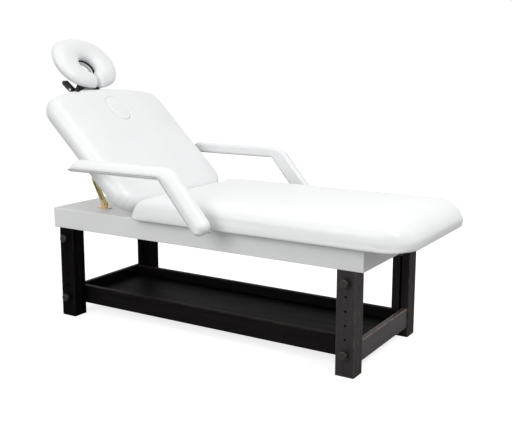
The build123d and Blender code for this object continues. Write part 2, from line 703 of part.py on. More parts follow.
def make_back_rails():
    """Rails that frame the underside, with the head rail in two so that the face hole stays open."""
    bottom = rail_span_bottom()
    inner = BACK_RAIL_HALF_WIDTH - BACK_RAIL_WALL
    rails = []
    for side in SIDES.values():
        rails.append(block(-BACK_RAIL_END, -BACK_RAIL_START, side * inner, side * BACK_RAIL_HALF_WIDTH,
                           bottom, BACK_BOARD_BOTTOM))
    rails.append(block(-BACK_RAIL_START - BACK_RAIL_WALL, -BACK_RAIL_START, -inner, inner,
                       bottom, BACK_BOARD_BOTTOM))
    plug_side = PLUG_WIDTH / 2 + PLUG_GAP + BACK_RAIL_PLUG_GAP
    for side in SIDES.values():
        head_rail = block(-BACK_RAIL_END, -BACK_RAIL_END + BACK_RAIL_WALL, side * plug_side, side * inner,
                          bottom, BACK_BOARD_BOTTOM)
        rails.append(head_rail - rod_bore(side, SOCKET_RADIUS, SOCKET_START, BACK_LENGTH))
    return BACK_FRAME * Compound(children=rails)


def make_rod_sockets():
    sockets = []
    for side in SIDES.values():
        tube = rod_bore(side, SOCKET_RADIUS, SOCKET_START, BACK_LENGTH - SOCKET_END_INSET)
        tube -= rod_bore(side, ROD_RADIUS + RUNNING_GAP, SOCKET_START - OVERRUN, BACK_LENGTH + OVERRUN)
        sockets.append(tube)
    return BACK_FRAME * Compound(children=sockets)


# Backrest hinges
def hinge_arm_ys(side, step):
    """Y span of the arm plate on one side of the ear."""
    near = HINGE_PLATE_WALL / 2 + HINGE_SIDE_GAP
    middle = side * HINGE_Y
    return middle + step * near, middle + step * (near + HINGE_PLATE_WALL)


def make_back_hinge_arms():
    """Forked arms from the lower rail of the backrest to its pivot."""
    arms = []
    for side in SIDES.values():
        outer = HINGE_PLATE_WALL * 3 / 2 + HINGE_SIDE_GAP
        drop = rail_span_bottom()
        arm = block(-BACK_RAIL_START, -BACK_RAIL_START + HINGE_FLANGE_WALL,
                    side * HINGE_Y - outer, side * HINGE_Y + outer, drop, BACK_BOARD_BOTTOM)
        for step in (-1, 1):
            y0, y1 = hinge_arm_ys(side, step)
            arm += link((-BACK_RAIL_START + HINGE_ARM_HALF_WIDTH, -HINGE_ARM_HALF_WIDTH * 3 / 2), (0, 0),
                        HINGE_ARM_HALF_WIDTH, y0, y1)
        arm -= bar_along_y(0, 0, HINGE_PIN_RADIUS + RUNNING_GAP, side * HINGE_Y - 2 * outer,
                           side * HINGE_Y + 2 * outer)
        arms.append(arm)
    return BACK_FRAME * Compound(children=arms)


def make_back_hinge_ears():
    """Flush deck plates, each with an upright ear and its pivot pin."""
    ears = []
    for side in SIDES.values():
        half_wall = HINGE_PLATE_WALL / 2
        y0, y1 = side * HINGE_Y - half_wall, side * HINGE_Y + half_wall
        ear = hinge_base(side)
        ear += block(BACK_PIVOT_X - HINGE_EAR_HALF_WIDTH, BACK_PIVOT_X + HINGE_EAR_HALF_WIDTH,
                     y0, y1, BOX_TOP - HINGE_PLATE_WALL, BACK_PIVOT_Z)
        ear += bar_along_y(BACK_PIVOT_X, BACK_PIVOT_Z, HINGE_EAR_HALF_WIDTH, y0, y1)
        reach = HINGE_PLATE_WALL * 3 / 2 + HINGE_SIDE_GAP + HINGE_POCKET_MARGIN / 2
        ear += bar_along_y(BACK_PIVOT_X, BACK_PIVOT_Z, HINGE_PIN_RADIUS,
                           side * HINGE_Y - reach, side * HINGE_Y + reach)
        ears.append(ear)
    return Compound(children=ears)


# Face hole plug
def plug_solid(bottom, top):
    face = oval_outline(PLUG_LENGTH / 2, PLUG_WIDTH / 2, PLUG_WIDTH / 2, bottom, -PLUG_PLACE)
    return extrude(face, amount=top - bottom, dir=(0, 0, 1))


def make_plug_board():
    return BACK_FRAME * plug_solid(PLUG_BOTTOM, PLUG_BOTTOM + PLUG_BOARD_WALL)


def make_plug_cushion():
    pad = plug_solid(PLUG_BOTTOM + PLUG_BOARD_WALL, PLUG_TOP)
    pad = fillet(pad.faces().sort_by(Axis.Z)[-1].edges(), PLUG_EDGE_RADIUS)
    return BACK_FRAME * pad


# Support stays
def back_point(place, lift):
    """A point on the raised backrest, from its place along it and its lift off its middle plane."""
    lean = radians(BACK_TILT)
    x = BACK_PIVOT_X - place * cos(lean) + lift * sin(lean)
    z = BACK_PIVOT_Z + place * sin(lean) + lift * cos(lean)
    return x, z


def stay_points():
    """Foot pivot, elbow and top pivot of the stays."""
    foot = (STAY_FOOT_X, STAY_FOOT_Z)
    lean = radians(STAY_LEAN)
    elbow = (foot[0] + STAY_LOWER_LENGTH * cos(lean), foot[1] + STAY_LOWER_LENGTH * sin(lean))
    return foot, elbow, back_point(STAY_TOP_PLACE, -STAY_TOP_DROP)


def stay_spans(side):
    """Y spans of the pairs of strips and of the pairs of foot ears."""
    near = STAY_BAR_HALF_WALL + STAY_SIDE_GAP
    ear_near = near + STAY_STRIP_WALL + STAY_SIDE_GAP
    middle = side * STAY_Y
    strips = [(middle + step * near, middle + step * (near + STAY_STRIP_WALL)) for step in (-1, 1)]
    ears = [(middle + step * ear_near, middle + step * (ear_near + STAY_STRIP_WALL)) for step in (-1, 1)]
    return strips, ears


def make_stay_feet():
    """Deck brackets that carry the feet of the stays on pins."""
    foot = stay_points()[0]
    brackets = []
    for side in SIDES.values():
        ears = stay_spans(side)[1]
        y0, y1 = min(ears[0] + ears[1]), max(ears[0] + ears[1])
        half = STAY_BASE_LENGTH / 2
        bracket = block(foot[0] - half, foot[0] + half, y0, y1, BOX_TOP, BOX_TOP + STAY_BASE_WALL)
        for ear in ears:
            bracket += block(foot[0] - STAY_EAR_HALF_WIDTH, foot[0] + STAY_EAR_HALF_WIDTH,
                             ear[0], ear[1], BOX_TOP, foot[1])
            bracket += bar_along_y(foot[0], foot[1], STAY_EAR_HALF_WIDTH, ear[0], ear[1])
        bracket += bar_along_y(foot[0], foot[1], STAY_PIN_RADIUS, y0, y1)
        brackets.append(bracket)
    return Compound(children=brackets)


def make_stay_lower(side):
    """Two strips that share a pin at the elbow."""
    foot, elbow = stay_points()[:2]
    strips = stay_spans(side)[0]
    arm = Part()
    for y0, y1 in strips:
        strip = link(foot, elbow, STAY_STRIP_HALF_WIDTH, y0, y1)
        strip -= bar_along_y(foot[0], foot[1], STAY_PIN_RADIUS + RUNNING_GAP, y0 - OVERRUN, y1 + OVERRUN)
        arm += strip
    ends = strips[0] + strips[1]
    return arm + bar_along_y(elbow[0], elbow[1], STAY_PIN_RADIUS, min(ends), max(ends))


def make_stay_upper(side):
    """A ratchet bar with a wide eye round the elbow pin and a round eye at the top."""
    elbow, top = stay_points()[1:]
    y0, y1 = side * STAY_Y - STAY_BAR_HALF_WALL, side * STAY_Y + STAY_BAR_HALF_WALL
    cut0, cut1 = y0 - OVERRUN, y1 + OVERRUN
    bar = link(elbow, top, STAY_BAR_HALF_WIDTH, y0, y1)
    eye = STAY_PIN_RADIUS + STAY_PLAY
    bar += bar_along_y(elbow[0], elbow[1], eye + STAY_EYE_WALL, y0, y1)
    bar += bar_along_y(top[0], top[1], STAY_TOP_EYE_RADIUS, y0, y1)
    run_x, run_z = top[0] - elbow[0], top[1] - elbow[1]
    length = hypot(run_x, run_z)
    for step in range(STAY_TOOTH_COUNT):
        along = (step + 1) * length / (STAY_TOOTH_COUNT + STAY_TOOTH_COUNT / 2) + eye
        x = elbow[0] + run_x * along / length - run_z * STAY_BAR_HALF_WIDTH / length
        z = elbow[1] + run_z * along / length + run_x * STAY_BAR_HALF_WIDTH / length
        bar -= bar_along_y(x, z, STAY_TOOTH_SIZE / 2, cut0, cut1)
    bar -= bar_along_y(elbow[0], elbow[1], eye, cut0, cut1)
    bar -= bar_along_y(top[0], top[1], STAY_PIN_RADIUS + RUNNING_GAP, cut0, cut1)
    return bar


def make_stay_tops():
    """Brackets under the backrest board that carry the tops of the stays."""
    brackets = []
    for side in SIDES.values():
        ears = stay_spans(side)[0]
        y0, y1 = min(ears[0] + ears[1]), max(ears[0] + ears[1])
        half = STAY_EAR_HALF_WIDTH * 2
        top = BACK_BOARD_BOTTOM
        bracket = block(-STAY_TOP_PLACE - half, -STAY_TOP_PLACE + half, y0, y1, top - STAY_STRIP_WALL, top)
        for ear in ears:
            bracket += block(-STAY_TOP_PLACE - STAY_STRIP_HALF_WIDTH, -STAY_TOP_PLACE + STAY_STRIP_HALF_WIDTH,
                             ear[0], ear[1], -STAY_TOP_DROP, top)
            bracket += bar_along_y(-STAY_TOP_PLACE, -STAY_TOP_DROP, STAY_STRIP_HALF_WIDTH, ear[0], ear[1])
        bracket += bar_along_y(-STAY_TOP_PLACE, -STAY_TOP_DROP, STAY_PIN_RADIUS, y0, y1)
        brackets.append(bracket)
    return BACK_FRAME * Compound(children=brackets)


# Armrests
def arm_corners():
    """Corners of the armrest's side view, from the tip round under the bend and back."""
    lean = radians(ARM_SLOPE)
    top = ARM_UNDERSIDE + ARM_THICKNESS
    along = (cos(lean), -sin(lean))
    out = (sin(lean), cos(lean))
    drop = ARM_UNDERSIDE + out[1] * ARM_SLOPE_WIDTH / 2 - ARM_PIVOT_HEIGHT + along[1] * ARM_SLOPE_WIDTH / 2
    inner_run = drop / sin(lean) + ARM_SLOPE_WIDTH
    inner_end = (ARM_BEND_X + along[0] * inner_run, ARM_UNDERSIDE + along[1] * inner_run)
    outer_end = (inner_end[0] + out[0] * ARM_SLOPE_WIDTH, inner_end[1] + out[1] * ARM_SLOPE_WIDTH)
    rise = (top - outer_end[1]) / sin(lean)
    outer_bend = (outer_end[0] - along[0] * rise, top)
    return [
        (ARM_TIP_X, ARM_UNDERSIDE),
        (ARM_BEND_X, ARM_UNDERSIDE),
        inner_end,
        outer_end,
        outer_bend,
        (ARM_TIP_X, top),
    ]


def arm_pivot():
    """X and Z of the armrest's pivot, at the middle of its rounded lower end."""
    inner_end, outer_end = arm_corners()[2:4]
    lean = radians(ARM_SLOPE)
    x = (inner_end[0] + outer_end[0]) / 2 - cos(lean) * ARM_SLOPE_WIDTH / 2
    z = (inner_end[1] + outer_end[1]) / 2 + sin(lean) * ARM_SLOPE_WIDTH / 2
    return x, z


ARM_RADII = [ARM_TIP_LOW_RADIUS, ARM_INNER_RADIUS, ARM_END_RADIUS, ARM_END_RADIUS, ARM_BEND_RADIUS,
             ARM_TIP_HIGH_RADIUS]


def arm_core_solid(side):
    """The board inside one armrest: the side view drawn in all round, on the inner face."""
    lean = radians(ARM_SLOPE)
    inset = ARM_CORE_INSET
    tip_low, bend_low, inner_end, outer_end, bend_high, tip_high = arm_corners()
    low_shift = inset * sin(lean / 2) / cos(lean / 2)
    corners = [
        (tip_low[0] + inset, tip_low[1] + inset),
        (bend_low[0] + low_shift, bend_low[1] + inset),
        (inner_end[0] + inset * (sin(lean) - cos(lean)), inner_end[1] + inset * (cos(lean) + sin(lean))),
        (outer_end[0] - inset * (sin(lean) + cos(lean)), outer_end[1] + inset * (sin(lean) - cos(lean))),
        (bend_high[0] - low_shift, bend_high[1] - inset),
        (tip_high[0] + inset, tip_high[1] - inset),
    ]
    radii = [radius - inset if radius > 2 * inset else radius for radius in ARM_RADII]
    radii[0] = ARM_TIP_LOW_RADIUS / 2
    radii[-1] = ARM_TIP_LOW_RADIUS / 2
    return side_plate(corners, side * ARM_INNER_Y, side * (ARM_INNER_Y + ARM_CORE_WALL), radii)


def make_arm_core(side):
    x, z = arm_pivot()
    core = arm_core_solid(side)
    return core - bar_along_y(x, z, ARM_PIN_RADIUS + RUNNING_GAP,
                              side * (ARM_INNER_Y - OVERRUN), side * (ARM_INNER_Y + ARM_CORE_WALL + OVERRUN))


def make_arm_cushion(side):
    outer_y = ARM_INNER_Y + ARM_WIDTH
    pad = side_plate(arm_corners(), side * ARM_INNER_Y, side * outer_y, ARM_RADII)
    outer_face = pad.faces().sort_by(Axis.Y)[0 if side < 0 else -1]
    pad = fillet(outer_face.edges(), ARM_OUTER_EDGE_RADIUS)
    inner_face = pad.faces().sort_by(Axis.Y)[-1 if side < 0 else 0]
    pad = fillet(inner_face.edges(), ARM_INNER_EDGE_RADIUS)
    return pad - arm_core_solid(side)


def bracket_outer_y():
    return ARM_INNER_Y - BRACKET_GAP


def bracket_foot(side):
    """The flat bar of an armrest bracket, between deck and pad."""
    x = arm_pivot()[0]
    inner_y = BOX_WIDTH / 2 - BRACKET_REACH_IN
    return block(x - BRACKET_WIDTH / 2, x + BRACKET_WIDTH / 2,
                 side * inner_y, side * bracket_outer_y(), BOX_TOP, BOX_TOP + BRACKET_WALL)


def make_arm_bracket(side):
    """A flat bar turned up beside the pad, with a shouldered pivot pin."""
    x, z = arm_pivot()
    outer_y = bracket_outer_y()
    bracket = bracket_foot(side)
    bracket += block(x - BRACKET_WIDTH / 2, x + BRACKET_WIDTH / 2,
                     side * (outer_y - BRACKET_WALL), side * outer_y, BOX_TOP, z)
    bracket += bar_along_y(x, z, BRACKET_WIDTH / 2, side * (outer_y - BRACKET_WALL), side * outer_y)
    bracket += bar_along_y(x, z, ARM_PIN_HEAD_RADIUS, side * outer_y, side * (ARM_INNER_Y - SLIDE_GAP))
    bracket += bar_along_y(x, z, ARM_PIN_RADIUS, side * outer_y, side * (ARM_INNER_Y + ARM_CORE_WALL - SLIDE_GAP))
    return bracket


# Face ring: rods and crossbar slide in the backrest, the platform tilts on the crossbar
def make_head_rods():
    bar_end = ROD_Y + ROD_RADIUS + LEVER_GAP + LEVER_WIDTH + LEVER_TAIL
    rods = bar_along_y(-CROSSBAR_PLACE, -ROD_DROP, CROSSBAR_RADIUS, -bar_end, ROD_Y + ROD_RADIUS)
    for side in SIDES.values():
        rods += rod_bore(side, ROD_RADIUS, ROD_START, CROSSBAR_PLACE)
    return BACK_FRAME * rods


def platform_hole(z):
    return oval_outline(HOLE_HALF_LENGTH + PLATFORM_HOLE_GAP, HOLE_HALF_WIDTH + PLATFORM_HOLE_GAP,
                        HOLE_HALF_LENGTH, z, HOLE_SHIFT)


def make_platform():
    """A horseshoe plate under the ring, with two ears down to the crossbar."""
    top = -RING_TUBE_RADIUS - PLATFORM_REST_GAP
    bottom = top - PLATFORM_WALL
    plate = extrude(oval_outline(PLATFORM_HALF_LENGTH, PLATFORM_HALF_WIDTH, PLATFORM_END_RADIUS, bottom),
                    amount=PLATFORM_WALL, dir=(0, 0, 1))
    hole = extrude(platform_hole(bottom - OVERRUN), amount=PLATFORM_WALL + 2 * OVERRUN, dir=(0, 0, 1))
    mouth = block(HOLE_SHIFT, PLATFORM_HALF_LENGTH + OVERRUN, -PLATFORM_MOUTH / 2, PLATFORM_MOUTH / 2,
                  bottom - OVERRUN, top + OVERRUN)
    plate = plate - hole - mouth
    to_ring = RING_FRAME.inverse() * BACK_FRAME
    pivot = (to_ring * Location((-CROSSBAR_PLACE, 0, -ROD_DROP))).position
    for side in SIDES.values():
        y0 = side * PLATFORM_EAR_Y - PLATFORM_EAR_WALL / 2
        y1 = side * PLATFORM_EAR_Y + PLATFORM_EAR_WALL / 2
        corners = [
            (pivot.X - PLATFORM_EYE_RADIUS, pivot.Z),
            (pivot.X + PLATFORM_EYE_RADIUS, pivot.Z),
            (pivot.X + PLATFORM_EAR_LENGTH / 2, bottom),
            (pivot.X - PLATFORM_EAR_LENGTH / 2, bottom),
        ]
        plate += side_plate(corners, y0, y1)
        plate += bar_along_y(pivot.X, pivot.Z, PLATFORM_EYE_RADIUS, y0, y1)
        plate -= bar_along_y(pivot.X, pivot.Z, CROSSBAR_RADIUS + RUNNING_GAP, y0 - OVERRUN, y1 + OVERRUN)
    return RING_FRAME * plate


def make_ring_cushion():
    """A split ring: a half-round outer edge, a flared hole and a slit towards the backrest."""
    outers, holes = [], []
    for share in RING_LEVEL_SHARES:
        inset = round_draw(share) * RING_TUBE_RADIUS
        z = share * RING_TUBE_RADIUS
        outers.append(oval_outline(RING_HALF_LENGTH - inset, RING_HALF_WIDTH - inset,
                                   RING_END_RADIUS - inset, z))
        flare = round_draw(share) * HOLE_FLARE
        holes.append(oval_outline(HOLE_HALF_LENGTH + flare, HOLE_HALF_WIDTH + flare,
                                  HOLE_HALF_LENGTH, z, HOLE_SHIFT))
    ring = loft(outers, ruled=True) - loft(holes, ruled=True)
    ring -= block(HOLE_SHIFT, RING_HALF_LENGTH + OVERRUN, -SLIT_WIDTH / 2, SLIT_WIDTH / 2,
                  -RING_TUBE_RADIUS - OVERRUN, RING_TUBE_RADIUS + OVERRUN)
    return RING_FRAME * ring


def make_lever():
    """The cam lever on the crossbar's near end, pointing up along the backrest."""
    y0 = -ROD_Y - ROD_RADIUS - LEVER_GAP
    y1 = y0 - LEVER_WIDTH
    lean = radians(LEVER_DROP_ANGLE)
    start = (-CROSSBAR_PLACE, -ROD_DROP)
    end = (start[0] - LEVER_LENGTH * cos(lean), start[1] - LEVER_LENGTH * sin(lean))
    lever = link(start, end, LEVER_HALF_HEIGHT, y0, y1)
    lever -= bar_along_y(start[0], start[1], CROSSBAR_RADIUS + RUNNING_GAP, y0 + OVERRUN, y1 - OVERRUN)
    return BACK_FRAME * lever


# Every node, by name
for name, (end, side) in CORNERS.items():
    parts["leg_inner_" + name] = make_inner_leg(end, side)
    parts["leg_outer_" + name] = make_outer_leg(end, side)
    for level, height in KNOB_HEIGHTS.items():
        parts["knob_" + name + "_" + level] = make_knob(end, side, height)

for name, side in SIDES.items():
    parts["box_side_rail_" + name] = make_side_rail(side)
    parts["shelf_side_rail_" + name] = make_shelf_side_rail(side)
    parts["stay_lower_" + name] = make_stay_lower(side)
    parts["stay_upper_" + name] = make_stay_upper(side)
    parts["armrest_cushion_" + name] = make_arm_cushion(side)
    parts["armrest_core_" + name] = make_arm_core(side)
    parts["armrest_bracket_" + name] = make_arm_bracket(side)

for name, end in {"head": -1, "foot": 1}.items():
    parts["box_end_rail_" + name] = make_end_rail(end)
    parts["shelf_end_rail_" + name] = make_shelf_end_rail(end)

parts["box_cover"] = make_box_cover()
parts["deck_panel"] = make_deck()
parts["cross_rails"] = make_cross_rails()
parts["corner_blocks"] = make_corner_blocks()
parts["leg_bolts"] = Compound(children=[bolt for side in SIDES.values() for bolt in leg_bolts_on(side)])
parts["clamp_nuts"] = make_clamp_nuts()
parts["shelf_panel"] = make_shelf_panel()
parts["shelf_battens"] = make_shelf_battens()
parts["shelf_screws"] = Compound(
    children=[screw for corner in CORNERS.values() for screw in shelf_screws_at(*corner)])
parts["seat_board"] = make_seat_board()
parts["seat_cushion"] = make_seat_cushion()
parts["backrest_cushion"] = make_back_cushion()
parts["backrest_board"] = make_back_board()
parts["backrest_rails"] = make_back_rails()
parts["backrest_hinge_arms"] = make_back_hinge_arms()
parts["backrest_hinge_ears"] = make_back_hinge_ears()
parts["headrest_sockets"] = make_rod_sockets()
parts["face_plug_board"] = make_plug_board()
parts["face_plug_cushion"] = make_plug_cushion()
parts["stay_foot_brackets"] = make_stay_feet()
parts["stay_top_brackets"] = make_stay_tops()
parts["headrest_rods"] = make_head_rods()
parts["headrest_platform"] = make_platform()
parts["headrest_cushion"] = make_ring_cushion()
parts["headrest_lever"] = make_lever()

# Shift everything so that the whole table's middle is at X zero, and write one file per node
whole = Compound(children=[Compound(part.solids()) for part in parts.values()]).bounding_box()
MIDDLE_X = (whole.min.X + whole.max.X) / 2
os.makedirs("parts", exist_ok=True)
for name, part in parts.items():
    solids = [Pos(-MIDDLE_X, 0, 0) * solid for solid in part.solids()]
    export_step(solids[0] if len(solids) == 1 else Compound(solids), "parts/" + name + ".step")

print("middle", MIDDLE_X, "size", whole.size)
print("backrest pivot", BACK_PIVOT_X - MIDDLE_X, BACK_PIVOT_Z)
print("stay points", [(x - MIDDLE_X, z) for x, z in stay_points()])
print("armrest pivot", arm_pivot()[0] - MIDDLE_X, arm_pivot()[1])
print("crossbar", [back_point(CROSSBAR_PLACE, -ROD_DROP)[0] - MIDDLE_X, back_point(CROSSBAR_PLACE, -ROD_DROP)[1]])
print("nodes", len(parts))
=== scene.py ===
import math

import bpy
import numpy as np
from mathutils import Matrix, Vector


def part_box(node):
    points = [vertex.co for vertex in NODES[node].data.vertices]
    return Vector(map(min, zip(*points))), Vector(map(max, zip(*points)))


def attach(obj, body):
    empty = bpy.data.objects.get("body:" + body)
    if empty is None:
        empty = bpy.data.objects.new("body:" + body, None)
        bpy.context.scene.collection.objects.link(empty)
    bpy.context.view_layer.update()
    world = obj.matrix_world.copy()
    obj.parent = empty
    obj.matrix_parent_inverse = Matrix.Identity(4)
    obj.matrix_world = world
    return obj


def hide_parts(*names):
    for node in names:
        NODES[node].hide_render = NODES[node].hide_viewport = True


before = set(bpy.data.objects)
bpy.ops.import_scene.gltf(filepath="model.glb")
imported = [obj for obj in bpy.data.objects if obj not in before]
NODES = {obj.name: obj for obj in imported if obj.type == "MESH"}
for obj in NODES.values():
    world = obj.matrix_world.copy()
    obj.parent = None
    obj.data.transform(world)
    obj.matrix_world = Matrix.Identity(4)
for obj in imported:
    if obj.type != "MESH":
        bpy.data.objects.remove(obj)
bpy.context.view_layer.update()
SIDES = (("front", -1), ("rear", 1))
TINY = 1e-9

# Sizes are in millimetres, as in the part's source, and MM turns them into metres. Places are in the shared frame,
# but for the backrest's, from TRAY to PLUG too, and the face ring's: these are in the flat frame of the pad itself.
# SHIFT_X centres the whole part.
MM = 0.001
SHIFT_X = -6.591

SEAT_HEAD_X, SEAT_FOOT_X, SEAT_HALF = -292.0 + SHIFT_X, 961.0 + SHIFT_X, 350.0
SEAT_BOTTOM, SEAT_HEIGHT = 500.0, 107.0
SEAT_HEAD_CORNER, SEAT_FOOT_CORNER = 30.0, 128.0
BOX_HALF_LENGTH, BOX_HALF_WIDTH = 768.5, 308.0

BACK_TILT = math.radians(44.0)
BACK_PIVOT = np.array([-314.0 + SHIFT_X, 0.0, 552.0])
BACK_HALF, BACK_LENGTH, BACK_HALF_WIDTH = 51.7, 650.0, 370.0
BACK_HEAD_ARCH, BACK_HEAD_CORNER, BACK_FOOT_CORNER, BACK_FOOT_REACH = 1480.0, 92.0, 104.0, 30.0
TRAY_HEAD_X, TRAY_FOOT_X, TRAY_HALF_WIDTH, TRAY_TOP = -555.0, -60.0, 262.0, -3.2
HINGE_Y, HINGE_POCKET_HALF, HINGE_POCKET_REACH, HINGE_EYE = 240.0, 10.0, -60.0, 15.0
SOCKET_Y, SOCKET_LIFT, SOCKET_RADIUS, SOCKET_START = 78.0, -25.0, 10.0, 485.0
PLUG_PLACE, PLUG_HALF_LENGTH, PLUG_HALF_WIDTH, PLUG_GAP = 500.0, 72.5, 55.0, 0.5

ARM_INNER_Y, ARM_WIDTH = 410.0, 55.0
ARM_TIP_X, ARM_BEND_X = -531.0 + SHIFT_X, -50.0 + SHIFT_X
ARM_UNDERSIDE, ARM_THICKNESS, ARM_SLOPE, ARM_SLOPE_WIDTH = 698.0, 50.0, math.radians(50.0), 74.0
ARM_PIVOT_HEIGHT = 535.0
ARM_END_DROP, ARM_END_TRIM = 5.0, 2.0
ARM_TIP_LOW, ARM_TIP_FRONT, ARM_TIP_RUN = (4.0, -1.0), (3.0, 25.0), 44.0
# Corner radii of the side view: low tip, inner bend, inner end, outer end, outer bend, high tip, front of the tip.
ARM_RADII = (9.0, 4.0, 30.0, 32.0, 90.0, 44.0, 12.0)

RING_TILT = math.radians(50.3)
RING_PLACE, RING_LIFT = 786.0, 57.0
RING_HALF_LENGTH, RING_HALF_WIDTH, RING_END_RADIUS, RING_HALF = 143.0, 183.5, 135.0, 30.6
HOLE_HALF_LENGTH, HOLE_HALF_WIDTH, HOLE_SHIFT = 43.0, 49.0, 17.0

SEAT_STEP, BACK_STEP, ARM_STEP, RING_STEP = ((7.0, 5.5, 4.0, 3.5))
PLUG_STEP = 3.0


# ---- Fields: a form is the space where its field is below zero ----
BATCH = 20000
OVAL_END_SHARE = 0.94


def polygon_distance(px, py, corners):
    """Signed distance to a closed outline, below zero inside it."""
    shape = px.shape
    px, py = px.ravel(), py.ravel()
    a = np.asarray(corners, float)
    b = np.roll(a, -1, axis=0)
    out = np.empty(px.size)
    for start in range(0, px.size, BATCH):
        x = px[start:start + BATCH, None]
        y = py[start:start + BATCH, None]
        run, rise = b[:, 0] - a[:, 0], b[:, 1] - a[:, 1]
        along = ((x - a[:, 0]) * run + (y - a[:, 1]) * rise) / np.maximum(run * run + rise * rise, TINY)
        along = np.clip(along, 0, 1)
        gap = np.hypot(x - a[:, 0] - along * run, y - a[:, 1] - along * rise).min(axis=1)
        crosses = ((a[:, 1] > y) != (b[:, 1] > y)) & (
            x < run * (y - a[:, 1]) / np.where(rise == 0, TINY, rise) + a[:, 0])
        inside = crosses.sum(axis=1) % 2 == 1
        out[start:start + BATCH] = np.where(inside, -gap, gap)
    return out.reshape(shape)


def slab_distance(x, y, x0, x1, half, low_corner, high_corner):
    """Signed distance to a rectangle with two pairs of round corners."""
    middle = (x0 + x1) / 2
    corner = np.where(x < middle, low_corner, high_corner)
    qx = np.abs(x - middle) - (x1 - x0) / 2 + corner
    qy = np.abs(y) - half + corner
    return np.minimum(np.maximum(qx, qy), 0) + np.hypot(np.maximum(qx, 0), np.maximum(qy, 0)) - corner


def box_distance(x, y, z, low, high):
    """Signed distance to a box between two corners."""
    q = [np.abs(v - (a + b) / 2) - (b - a) / 2 for v, a, b in zip((x, y, z), low, high)]
    outside = np.sqrt(sum(np.maximum(v, 0) ** 2 for v in q))
    return outside + np.minimum(np.maximum(np.maximum(q[0], q[1]), q[2]), 0)


def smooth_max(a, b, width):
    """The larger of two fields, with their crease rounded over a width."""
    blend = np.maximum(width - np.abs(a - b), 0) / width
    return np.maximum(a, b) + blend * blend * width / 4


def rounded_outline(points, radii):
    """A closed outline with its corners rounded, as an array of points."""
    steps = 10
    out = []
    count = len(points)
    for index in range(count):
        before, here, after = (np.array(points[(index + k) % count], float) for k in (-1, 0, 1))
        to_before, to_after = before - here, after - here
        to_before /= np.linalg.norm(to_before)
        to_after /= np.linalg.norm(to_after)
        half = math.acos(np.clip(to_before @ to_after, -1, 1)) / 2
        radius = radii[index]
        middle_way = (to_before + to_after) / np.linalg.norm(to_before + to_after)
        centre = here + middle_way * radius / math.sin(half)
        start = here + to_before * radius / math.tan(half) - centre
        end = here + to_after * radius / math.tan(half) - centre
        turn = math.atan2(start[0] * end[1] - start[1] * end[0], start @ end)
        for step in range(steps + 1):
            angle = turn * step / steps
            cosine, sine = math.cos(angle), math.sin(angle)
            out.append((centre[0] + start[0] * cosine - start[1] * sine,
                        centre[1] + start[0] * sine + start[1] * cosine))
    return np.array(out)


def oval_points(half_length, half_width, end_radius, shift=0.0, steps=24):
    """An oval of four tangent arcs, the same one as in the part's source."""
    swap = half_length < half_width
    long_half, short_half = max(half_length, half_width), min(half_length, half_width)
    small = min(end_radius, short_half * OVAL_END_SHARE)
    reach = long_half - small
    big = (reach ** 2 + short_half ** 2 - small ** 2) / (2 * (short_half - small))
    turn = math.atan2(big - short_half, reach)
    points = []
    for step in range(steps):
        angle = -turn + 2 * turn * step / steps
        points.append((reach + small * math.cos(angle), small * math.sin(angle)))
    for step in range(steps):
        angle = turn + (math.pi - 2 * turn) * step / steps
        points.append((big * math.cos(angle), short_half - big + big * math.sin(angle)))
    points += [(-x, -y) for x, y in points]
    if swap:
        points = [(y, x) for x, y in points]
    return np.array([(x + shift, y) for x, y in points])


def curve_through(points, steps=6):
    """A smooth open line through the given points (Catmull-Rom)."""
    p = np.array([points[0]] + list(points) + [points[-1]], float)
    out = []
    for i in range(1, len(p) - 2):
        for step in range(steps):
            t = step / steps
            out.append(0.5 * (2 * p[i] + (p[i + 1] - p[i - 1]) * t
                              + (2 * p[i - 1] - 5 * p[i] + 4 * p[i + 1] - p[i + 2]) * t * t
                              + (3 * p[i] - p[i - 1] - 3 * p[i + 1] + p[i + 2]) * t ** 3))
    out.append(p[-2])
    return np.array(out)


# ---- Meshes from fields ----
def tilted(origin, tilt):
    """Turns local millimetres (along the table at rest flat, across, up) into the shared frame."""
    cosine, sine = math.cos(tilt), math.sin(tilt)

    def place(p):
        p = np.asarray(p, float)
        x = p[..., 0] * cosine + p[..., 2] * sine
        z = -p[..., 0] * sine + p[..., 2] * cosine
        return np.stack([x + origin[0], p[..., 1] + origin[1], z + origin[2]], -1)
    return place


back_place = tilted(BACK_PIVOT, BACK_TILT)
ring_place = tilted(back_place([-RING_PLACE, 0, RING_LIFT]), RING_TILT)


def add_object(name, data):
    obj = bpy.data.objects.new(name, data)
    bpy.context.scene.collection.objects.link(obj)
    return obj


def new_object(name, vertices, faces, smooth=True):
    """An object with a mesh of vertices in metres."""
    mesh = bpy.data.meshes.new(name)
    mesh.from_pydata([tuple(v) for v in vertices], [], [tuple(f) for f in faces])
    mesh.validate()
    if smooth:
        mesh.polygons.foreach_set("use_smooth", [True] * len(mesh.polygons))
    return add_object(name, mesh)


def neighbours(axis):
    """Two indexes that pair each grid point with the next one along an axis."""
    near, far = [slice(None)] * 3, [slice(None)] * 3
    near[axis], far[axis] = slice(None, -1), slice(1, None)
    return tuple(near), tuple(far)


